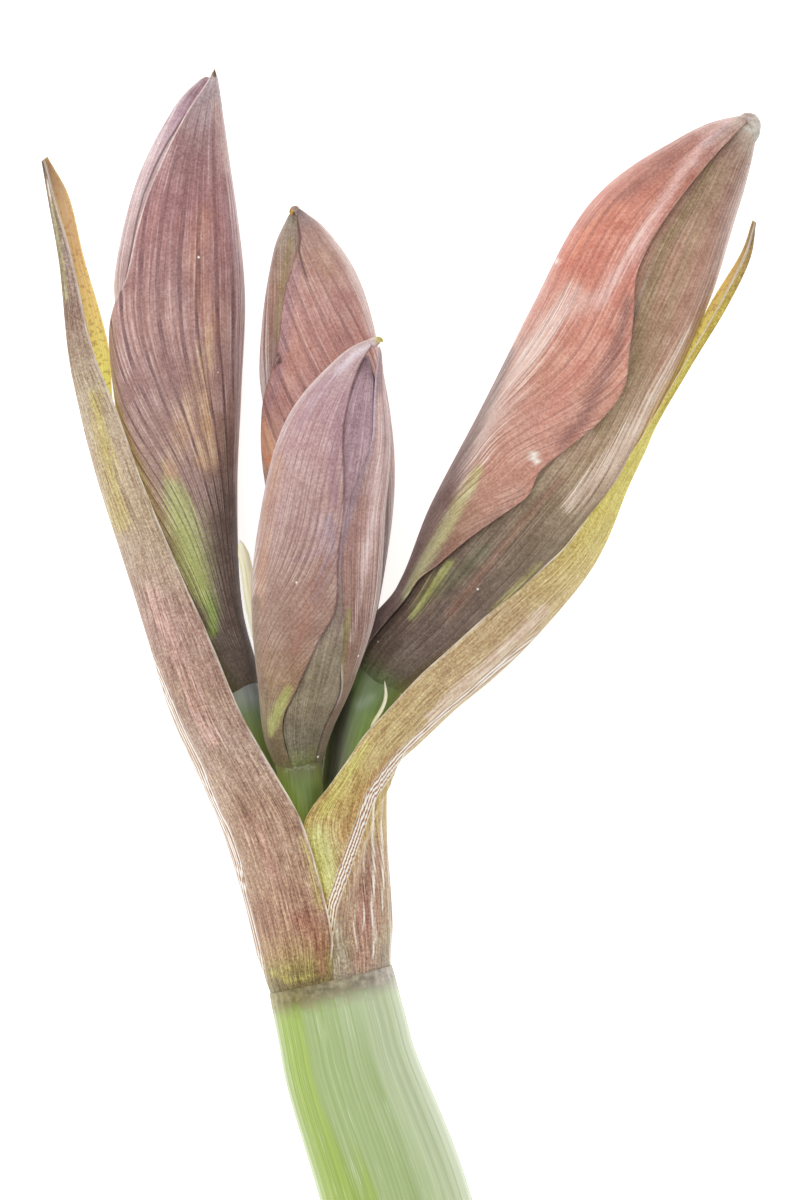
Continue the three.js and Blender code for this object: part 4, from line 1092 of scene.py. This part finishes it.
# The ground of each flower's inner tepals, from base to tip.
CORE_GROUNDS = {
    "left": {0: "#5c504a", 0.2: "#6e6056", 0.5: "#8e7670", 1: "#a88f90"},
    "back": {0: "#4e4440", 0.2: "#6b5e58", 0.5: "#8f7c76", 1: "#a38a80"},
    "front": {
        0: "#6c7a48", 0.03: "#6f6e4c", 0.06: "#726a58", 0.15: "#867b63", 0.28: "#8c806a", 0.4: "#907c73",
        0.55: "#9a8087", 0.65: "#aa8c93", 0.85: "#a88a94", 1: "#a48a92",
    },
    "right": {0: "#5d524b", 0.15: "#64584c", 0.4: "#8a7862", 1: "#a8907e"},
}
for name, tepals in TEPALS.items():
    run_length = LINES[name].total * (1 - STARTS[name]) * CORE_END

    def core_place(across, along, name=name, tepals=tepals, run_length=run_length):
        share = along * CORE_END
        frames = flower_frames(name, share)
        degrees = across * 360
        level = layers_over(tepals, share, degrees, margin=-4, end=0)
        radius = flower_radius(name, frames, degrees, np.maximum(INNER_LEVEL, level)) - CORE_GAP
        rolled = np.mod(degrees + FURL_START + FURL_TWIST * along, 120) / 120
        radius -= FURL_STEP * (1 - rolled) * fade(rolled, 0, 0.06) * fade(along, 0.3, 0.5)
        tube = 1 - fade(along * run_length, 0, TUBE_RUN)
        radius += tube * (frames[0][:, 3] + 0.05 - radius) - 0.6 * (1 - fade(along * run_length, 0, 1.5))
        frames[0][:, :3] -= frames[1] * (0.8 * TUBE_LAP * tube)[:, None]
        return around(frames, degrees, np.maximum(radius * rounded(along, 400, 20), THINNEST))

    def core_marks(across, along, points, name=name, run_length=run_length):
        ground, spots = painted(along * CORE_END, {"ground": CORE_GROUNDS[name]}, points, along)
        run = along * run_length / 100
        return {
            "ground": ground, "spots": spots, "crease": np.zeros((len(along), 3)),
            "fan": np.stack([CORE_VEINS * across, run, np.full_like(run, 40)], axis=-1),
            "veined": 0.25 * fade(along, 0.0, 0.1),
        }

    core = lay_grid(f"{name}_inner_tepals", CORE_GRID, core_place, core_marks, tepal_skin)
    settle(core, f"{name}_bud_inner_tepals")


# The spathe leaves: two papery leaves that enclosed the whole bunch and have split apart. They
# grow from the neck of the stem, finely striped, fleshy below and dry at the tips and margins.
SPATHE_GRID = (120, 200)
SPATHE_THICK = 0.7
SPATHE_VEINS = 26
VEIN_HEIGHT = 0.06
MARGIN_DRYNESS = 0.7
# Stations across each leaf in millimetres: [near edge x, y, z, keel x, y, z, far edge x, y, z].
SPATHES = {
    "left": [
        [-11.3, -9.1, 28.9, -21.7, -11.4, 18.4, -11.9, -9.1, 7.9],
        [-11.2, -6, 29.5, -22.5, -8.4, 18.4, -12, -6.1, 7.3],
        [-11, -1.6, 29.9, -23.9, -4.2, 18.4, -12.2, -1.8, 7],
        [-12.6, 5.5, 30.6, -26, 4.8, 18.4, -12.8, 5.5, 6.6],
        [-15.9, 16.8, 31.4, -29.6, 16.4, 18.2, -15.4, 16.8, 6.4],
        [-20.6, 25.4, 31.4, -34, 26, 17.4, -19.8, 25.4, 6.2],
        [-26.2, 35.2, 26.6, -38.6, 36.2, 16.1, -25.4, 35.2, 5.8],
        [-31.6, 47.8, 22.2, -42.3, 48.2, 14.4, -31.6, 47.8, 4.8],
        [-37.6, 61.2, 21, -46.3, 61.2, 13.2, -40, 61.2, 3.9],
        [-43, 74.2, 18.8, -50.4, 73.7, 12.6, -44.4, 74.2, 4.6],
        [-47, 85.4, 15.8, -53.3, 84.5, 12, -47.8, 86, 5],
        [-51.2, 96, 14, -55.2, 94.5, 11.4, -48.8, 97, 6.4],
        [-54.6, 111, 13.4, -56.7, 109.5, 11.4, -52.8, 111.5, 8.6],
        [-57.4, 120.6, 13.4, -58.1, 119.2, 12.2, -55.2, 121.5, 10.4],
        [-59.2, 127.6, 13.4, -59.8, 127.4, 12.8, -58.8, 128.2, 12.4],
    ],
    "right": [
        [-11.4, -9, 28.9, -1.4, -6.7, 18.4, -11.4, -9, 7.9],
        [-11.5, -6, 28.2, -1.3, -3.6, 18.4, -11.5, -6, 8.6],
        [-12.9, -1.8, 27.9, -1.2, 0.6, 18.4, -12.9, -1.8, 8.6],
        [-14.2, 6, 28.2, -1.5, 8.2, 18.5, -13.6, 6, 8],
        [-15.9, 16.4, 29.6, -2.1, 16.6, 18.5, -11.6, 16.4, 7.4],
        [-11.2, 23.7, 31, -2, 22.5, 18.5, -8.4, 21.6, 7.2],
        [-8.3, 27.8, 30, -1.5, 25.4, 18.4, -6, 25.2, 7.6],
        [-5.6, 31.8, 28.4, 0.5, 28, 18.2, -3, 28.4, 8],
        [-2.3, 35.3, 26.6, 3.5, 30.8, 17.6, 0.4, 31.6, 8.4],
        [3.3, 41.3, 25.6, 9.2, 36.2, 16.8, 5.6, 37.4, 9],
        [9.8, 47.2, 24.6, 15.9, 41.6, 15.8, 11.8, 44, 9.2],
        [16.3, 53, 23.4, 22.1, 47.7, 15, 18.4, 50.4, 9],
        [26.2, 61.5, 21.6, 30.2, 57, 14.4, 26.8, 60.2, 8.4],
        [30.6, 66.9, 21, 34.3, 63.8, 14.2, 30.4, 66.4, 8.2],
        [35.3, 74, 19.8, 37.8, 72.4, 14.2, 35.4, 73.6, 8],
        [39.8, 80.2, 19.2, 41.1, 79.2, 14.4, 39.9, 80.2, 8.4],
        [42.1, 84, 18.4, 43.2, 83.8, 14.6, 42.1, 84.4, 9.2],
        [47.2, 92.8, 17.8, 48.5, 92.9, 15.4, 46.8, 93, 12.6],
        [53, 102.6, 17.4, 54.5, 102.8, 15.8, 51.8, 103.2, 14.2],
        [57.4, 111.2, 17.4, 58.6, 110.6, 16.4, 57, 111.8, 15.6],
        [59.3, 117, 17.2, 59.6, 117, 16.8, 59, 117.4, 16.4],
    ],
}
# The right leaf buckled where it bent outwards: a fold runs up it, steep on its outer side.
FOLD_HEIGHT = 3.0
FOLD_RUN = [0.03, 0.09, 0.16, 0.36]     # shares of the leaf's length: start, full, full, end
FOLD_PLACE = [[0.06, -80], [0.12, -64], [0.16, -48], [0.2, -36], [0.26, -12]]      # share, degrees
FOLD_STEEP = 18           # degrees over which the fold drops
ROW_BIAS = 1.2            # above 1, the rows crowd towards the neck
DOWN_STEM = np.array([0.3, -1.27, 0.0])   # how far the leaves' bases run down into the neck
SINK = 0.35               # and how far they sink into it
# For each leaf: the seed of its lumps, the shares of its length over which its margins turn dry, how
# closely the fibres of its ridge lie, the grounds of its outer and inner face, the ridge as a line of
# [x, y] drawn from above, and the strokes.
SPATHE_LOOKS = {
    "left": {
        "seed": 54, "dry from": [0.01, 0.04], "ridge pace": 1.5,
        "ground": {
            0: "#766c48", 0.012: "#7e744a", 0.024: "#958958", 0.04: "#a08866", 0.07: "#a38472",
            0.12: "#ac9280", 0.2: "#a58c7c", 0.28: "#ac988d", 0.36: "#a78e83", 0.44: "#a98f88",
            0.52: "#b09f90", 0.58: "#b1a28d", 0.66: "#b9aa98", 0.74: "#b6aa98", 0.82: "#9c887d",
            0.9: "#a39590", 0.96: "#998b7c", 1: "#644f42",
        },
        "inner": {
            0: "#e2e09b", 0.3: "#f0f49e", 0.5: "#f6ffb0", 0.65: "#e2e690", 0.75: "#d6d284", 0.82: "#c8b474",
            0.88: "#bca070", 0.94: "#ac8e70", 1: "#705444",
        },
        "ridge": [[-45, 52], [-42.4, 46.3], [-39.6, 40.2], [-36.1, 32], [-33.3, 26.4], [-30.6, 19.5],
                  [-28.4, 15], [-26.8, 10.5], [-25.9, 5], [-24.7, 0.3], [-23.6, -4.3], [-22.7, -10]],
        "soft": [
            ["#a4705f", 0.5, [-16, 1, 1.8], [-13.2, -2.5, 1.4], [-12.8, -7.5, 0.9]],
            ["#f3eee4", 1, [-58.8, 124, 0.13], [-57.4, 116.5, 0.17], [-56.2, 110.7, 0.17],
             [-55.6, 104, 0.17]],
        ],
        "streaked": [
            ["#c3a09a", 0.8, [-30.8, 30.7, 1.67], [-36.6, 44, 1.5], [-41.6, 55.7, 1.33]],
            ["#b58f86", 0.8, [-24.9, 17.3, 1.67], [-19.9, 7.3, 1.33]],
            ["#c0b472", 1, [-46.3, 66.7, 1.6], [-49.1, 78.7, 1.5], [-50.7, 88.3, 1.2]],
            ["#e9dccf", 1.3, [-43.2, 47.3, 0.67], [-35.8, 29, 1], [-29.1, 12.3, 1], [-24.9, -1, 1]],
            ["#aca45c", 0.9, [-20.8, -8, 0.7], [-18.2, -9.2, 0.7], [-14.1, -8.2, 0.6]],
            ["#b9ad72", 0.75, [-16.2, 14.3, 0.9], [-14.2, 9.3, 1], [-13.2, 3.3, 0.8]],
            ["#b9adae", 0.7, [-21, 27, 1.6], [-24.4, 34, 1.8], [-28, 43, 1.6]],
            ["#8f8a5c", 1, [-57.9, 120.7, 0.5], [-56.6, 112.3, 0.5], [-55.6, 104, 0.5]],
        ],
    },
    "right": {
        "seed": 55, "dry from": [0.15, 0.3], "ridge pace": 1.1,
        "ground": {
            0: "#958c7e", 0.015: "#988e7c", 0.03: "#a59a80", 0.05: "#aa937e", 0.12: "#b49a7a",
            0.2: "#b9a56c", 0.3: "#bdab7c", 0.4: "#bba683", 0.5: "#bda988", 0.58: "#c6b67e",
            0.66: "#cec472", 0.74: "#d1c86d", 0.82: "#cabe63", 0.9: "#bfae57", 0.96: "#a48e5b",
            1: "#6c5642",
        },
        "inner": {
            0: "#d9d09c", 0.3: "#dcd08c", 0.5: "#e6e5af", 0.7: "#dcd88c", 0.85: "#cbc26d", 0.93: "#b59a5c",
            1: "#6a5346",
        },
        "ridge": [[-11.8, -1.5], [-11.1, 3.3], [-9.2, 8.7], [-6.6, 16.2], [-4.6, 21.6], [-2, 25.2],
                  [0.2, 27.9], [3.3, 30.9], [7.4, 34.5], [11.5, 37.8], [15.5, 41.4], [19.6, 44.7],
                  [23.8, 47.9], [28.2, 50.8], [33.5, 53.6], [38.5, 56]],
        "soft": [
            ["#a88a7c", 1, [-5.8, -6, 2.33], [-5.8, 4, 2.33], [-4.1, 12.3, 1.33]],
            ["#a17a72", 0.6, [-5.6, 5, 1.6], [-5.4, 0, 1.6]],
            ["#b3ada2", 0.7, [-10.6, 0, 0.9], [-9.6, -5.5, 1.1]],
            ["#c4c68e", 1, [-13.6, 15, 2], [-12.4, 11.5, 2.4], [-11.6, 6.3, 1.7]],
            ["#b4986a", 0.7, [-10.6, 6, 0.5], [-8.9, 11.2, 0.6], [-6.8, 17.5, 0.7], [-3.8, 23.3, 0.5]],
        ],
        "streaked": [
            ["#ece6de", 1.2, [-5.6, 14, 0.1], [-5.9, 9.5, 0.2], [-5.6, 4, 0.2], [-6, -1, 0.1]],
            ["#ece6de", 1.3, [-4, 21.5, 0.1], [-4.4, 15, 0.22], [-4.1, 8, 0.24], [-4.5, 3, 0.24],
             [-3.9, -2, 0.24], [-4.4, -5.5, 0.1]],
            ["#ece6de", 1.2, [-2.7, 22, 0.1], [-2.9, 15, 0.22], [-2.6, 8, 0.22], [-2.8, 2, 0.1]],
            ["#e8e2d8", 1.2, [-1.9, 13, 0.1], [-1.7, 5, 0.2], [-1.3, -2, 0.24], [-1.4, -6.5, 0.24]],
            ["#e0d8cc", 1, [-7.2, 5, 0.1], [-7.4, 0, 0.2], [-6.9, -4, 0.1]],
            ["#c9c877", 0.9, [-12.4, 19.5, 1.8], [-9.4, 24.5, 1.4], [-5.1, 29.7, 0.8]],
            ["#a98558", 0.9, [-9.3, 14.5, 0.8], [-6, 22, 0.9], [0, 29.5, 0.8]],
            ["#dac6b8", 1.1, [5.1, 34.8, 1], [11.8, 40.7, 1.17], [18.4, 46.5, 1.17], [24.2, 52.3, 1]],
            ["#c0a058", 0.8, [3.4, 30.7, 0.67], [11.8, 37.3, 0.67], [20.1, 43.2, 0.67], [26.8, 50.7, 0.67]],
        ],
    },
}


# Spathe skin: matt, fibrous, half-dried leaf. Its streaks are the veins. The ridge is a bundle of dry
# white fibres with brown between them, and the margins are dry and pale as well.
spathe_paint, put = new_material("spathe_skin")
fan = put("Attribute", attribute_name="fan").outputs["Vector"]
dry = put("Attribute", attribute_name="dry").outputs["Fac"]
ridge = put("SeparateXYZ", {0: put("Attribute", attribute_name="ridge").outputs["Vector"]})
stripes = drawn_out(put, fan, (2.6, 5.0, 1.0), 5.0, 0.7)
threads = drawn_out(put, fan, (8.0, 22.0, 1.0), 3.0, 0.7)
mottle, cells, tone = speckled_skin(put, put("TexCoord").outputs["Object"], stripes)
tone = grained(
    put, tone,
    (stripes, 0.9, {0.3: "#6e5c54", 0.5: "#bcbab8", 0.66: "#f4f0ec"}),
    (threads, 0.75, {0.36: "#70605a", 0.5: "#bcbab8", 0.62: "#f4f0ec"}),
    (mottle, 0.5, {0.35: "#98908e", 0.65: "#dadad8"}),
    (cells, 0.75, {0.34: "#5e443c", 0.44: "#ac9e9a", 0.53: "#bcbcbe", 0.6: "#e4e6c8", 0.68: "#f8f8e6"}),
)
dry_tone = put("ValToRGB", {0: threads}, stops={0.38: "#94704c", 0.5: "#e6dccf", 0.62: "#f8f4ee"})
tone = put("Mix", {"Factor": dry, "A": tone, "B": dry_tone})
wavy = put("Math", {0: stripes, 1: 1.0, 2: ridge}, operation="MULTIPLY_ADD")
wavy = put("Math", {0: threads, 1: 0.5, 2: wavy}, operation="MULTIPLY_ADD")
fibres = put("Math", {0: put("Math", {0: wavy, 1: 12.0}, operation="MULTIPLY")}, operation="SINE")
fibre_tone = put("ValToRGB", {0: put("MapRange", {"Value": fibres, "From Min": -1.0})}, stops={
    0.1: "#8c5c38", 0.35: "#c9a27c", 0.6: "#f4efe8", 1: "#fbf8f3",
})
off_ridge = put("Math", {0: put("Math", {0: wavy, 1: 0.75}, operation="SUBTRACT")}, operation="ABSOLUTE")
on_ridge = put("MapRange", {
    "Value": off_ridge, "From Min": 0.7, "From Max": 1.3, "To Min": 0.85, "To Max": 0.0,
})
ridge_share = put("Math", {0: on_ridge, 1: ridge.outputs["Y"]}, operation="MULTIPLY")
relief = put("Bump", {"Strength": 0.5, "Distance": 0.0002, "Height": stripes})
put("OutputMaterial", {"Surface": put("BsdfPrincipled", {
    "Base Color": put("Mix", {"Factor": ridge_share, "A": tone, "B": fibre_tone}),
    "Normal": put("Bump", {"Strength": 0.3, "Distance": 0.0001, "Height": threads, "Normal": relief}),
    "Roughness": 0.55, "IOR": 1.4, "Specular IOR Level": 0.4,
    "Subsurface Weight": 0.2, "Subsurface Radius": (1.0, 0.8, 0.4), "Subsurface Scale": 0.0015,
    "Sheen Weight": 0.25, "Sheen Roughness": 0.45, "Sheen Tint": "#f8f2ea",
})})

# The inner face of a spathe leaf: smooth, satin, bright yellow-green, with a painted glow for the light that
# passes through it.
lining_paint, put = new_material("spathe_lining")
fan = put("Attribute", attribute_name="fan").outputs["Vector"]
stripes = drawn_out(put, fan, (2.6, 5.0, 1.0), 4.0)
specks = put("TexNoise", {"Vector": put("TexCoord").outputs["Object"], "Scale": 1500.0, "Detail": 3.0})
tone = grained(
    put, put("Attribute", attribute_name="ground"),
    (stripes, 0.6, {0.35: "#9c8c70", 0.5: "#bcbcb8", 0.65: "#eeeadc"}),
)
speck_share = put("MapRange", {"Value": specks, "From Min": 0.52, "From Max": 0.64, "To Max": 0.5})
tone = put("Mix", {"Factor": speck_share, "A": tone, "B": "#8c5c3c"})
# Painted glow: the lining's colour also glows a little, standing in for the light passing through it and
# lifting it out of the shade inside the leaf's channel.
put("OutputMaterial", {"Surface": put("BsdfPrincipled", {
    "Base Color": tone, "Emission Color": tone, "Emission Strength": 0.45,
    "Normal": put("Bump", {"Strength": 0.3, "Distance": 0.0002, "Height": stripes}), "Roughness": 0.45,
    "Subsurface Weight": 0.3, "Subsurface Radius": (1.0, 1.0, 0.4), "Subsurface Scale": 0.0015,
})})


def fold_height(share, degrees):
    """How high the right leaf's fold stands."""
    place = smooth(FOLD_PLACE, share)
    along = fade(share, FOLD_RUN[0], FOLD_RUN[1]) * (1 - fade(share, FOLD_RUN[2], FOLD_RUN[3]))
    return FOLD_HEIGHT * along * fade(degrees, -92, place) * (1 - fade(degrees, place, place + FOLD_STEEP))


def make_spathe(side, stations, looks):
    """One spathe leaf: its outer face in one skin, and its lining in another."""
    line = Line(stations)

    def facts(across, along):
        share = along**ROW_BIAS
        row = line.at(share)
        near, keel, far = row[:, 0:3], row[:, 3:6], row[:, 6:9]
        middle = (near + far) / 2
        depth, half = keel - middle, far - middle
        breadth = np.pi * (np.linalg.norm(depth, axis=1) + np.linalg.norm(half, axis=1)) / 2
        return share, middle, depth, half, np.minimum(across, 1 - across) * breadth

    def place(across, along, inside):
        share, middle, depth, half, to_margin = facts(across, along)
        to_end = np.minimum(share, 1 - share) * line.total
        degrees = across * 180 - 90
        turn = np.radians(degrees)[:, None]
        to_keel, to_edge = depth * np.cos(turn), half * np.sin(turn)
        outward = to_keel + to_edge
        outward /= np.maximum(np.linalg.norm(outward, axis=1), 1e-9)[:, None]
        height = VEIN_HEIGHT * np.cos(2 * np.pi * SPATHE_VEINS * across)
        height += LUMP_HEIGHT["spathe"] * unevenness(looks["seed"], across, along)
        height *= fade(to_end, 0, 8) * fade(to_margin, 0, 3)
        if side == "right":
            height += fold_height(share, degrees)
        sunk = 1 - fade(share * line.total, 0, 1.8)
        height -= SINK * sunk
        if inside:
            near = np.clip(np.minimum(to_margin, to_end) / MARGIN_ROUNDING, 0, 1)
            thick = SPATHE_THICK * np.sqrt(1 - (1 - near) ** 2)
            for vector, full in ((to_keel, depth), (to_edge, half)):
                vector *= np.maximum(1 - thick / np.linalg.norm(full, axis=1), 0.3)[:, None]
        points = middle + to_keel + to_edge + outward * height[:, None]
        points += sunk[:, None] * DOWN_STEM
        points[:, 2] = np.maximum(points[:, 2], 0)
        return points

    def marks(across, along, points, inside):
        share, *_, to_margin = facts(across, along)
        upward = 1 - fade(across, 0.5, 0.58)
        ground, spots = painted(share, {"ground": looks["inner"]} if inside else looks, points, upward)
        ridge = from_line(points, looks["ridge"])
        ridge[:, 0] *= looks["ridge pace"]
        ridge[:, 1] *= upward
        veins = SPATHE_VEINS * across + 7 * looks["seed"]
        return {
            "ground": ground, "spots": spots, "ridge": ridge,
            "fan": np.stack([veins, share * line.total / 100, np.full_like(share, looks["seed"])], axis=-1),
            "dry": MARGIN_DRYNESS * (1 - fade(to_margin, 0.1, 0.5)) * fade(share, *looks["dry from"]),
        }

    outer, inner = [
        lay_grid(face, SPATHE_GRID, partial(place, inside=inside), partial(marks, inside=inside), paint, 0.5)
        for face, inside, paint in (
            (f"{side}_spathe_leaf_blade", False, spathe_paint), ("inner_face", True, lining_paint),
        )
    ]
    close_seams(inner, flip=side == "right")
    close_seams(outer, flip=side == "left")
    settle(outer, f"{side}_spathe_leaf", [inner])


for leaf_side, leaf_stations in SPATHES.items():
    make_spathe(leaf_side, leaf_stations, SPATHE_LOOKS[leaf_side])


# The bracteoles: thin membranous straps, nearly white, that stand among the pedicels. Each is a soft
# flat band that starts on the top of the stem and narrows to a blunt end.
STRAP_GRID = (24, 120)
BRACTEOLE_THICK = 0.5
# Stations of each strap in millimetres: [x, y, z, half width].
BRACTEOLES = {
    "front": [
        [-8, -5.4, 23.4, 0.9], [-7.8, 8, 24.2, 0.9], [-6.6, 22, 25.2, 0.8], [-4.6, 31.6, 25.9, 0.4],
        [-4.3, 33.4, 26.1, 0.32], [-2.8, 36, 26.4, 0.3], [-2.2, 38.1, 26.6, 0.28], [-2.4, 40.7, 26.8, 0.16],
    ],
    "back": [
        [-15.6, -7, 13.6, 0.9], [-16, 6, 13.2, 0.9], [-17.6, 20, 13, 0.9], [-19.6, 32, 15.2, 0.9],
        [-22.2, 42, 18.6, 0.95], [-24.4, 52, 19.6, 1], [-25.4, 59, 19.8, 1], [-26.5, 64, 20, 0.9],
    ],
}
# Dried membrane: matt, nearly white, faintly striped, light passing through it.
bracteole_paint, put = new_material("dry_bracteole_membrane")
stripes = drawn_out(put, put("UVMap"), (9.0, 5.0, 1.0), 4.0)
put("OutputMaterial", {"Surface": put("BsdfPrincipled", {
    "Base Color": put("ValToRGB", {0: stripes}, stops={0.3: "#d9cf9a", 0.5: "#f1edd2", 0.7: "#f8f6ea"}),
    "Normal": put("Bump", {"Strength": 0.3, "Distance": 0.0002, "Height": stripes}), "Roughness": 0.6,
    "Subsurface Weight": 0.3, "Subsurface Radius": (1.0, 1.0, 0.6), "Subsurface Scale": 0.001,
})})
for name, stations in BRACTEOLES.items():

    def strap_place(across, along, strap=Line(stations)):
        row, _, right, up = strap.frame(along)
        turn = 2 * np.pi * across
        closing = rounded(along, 60, 30)
        wide = row[:, 3] * (1 + 0.08 * np.sin(along * 23)) * closing
        thick = BRACTEOLE_THICK / 2 * closing * (1 + 0.5 * np.cos(2 * turn))
        return row[:, :3] + right * (np.sin(turn) * wide)[:, None] + up * (np.cos(turn) * thick)[:, None]

    piece = lay_grid(f"{name}_bracteole_strap", STRAP_GRID, strap_place, lambda a, b, c: {}, bracteole_paint)
    settle(piece, f"{name}_bracteole")
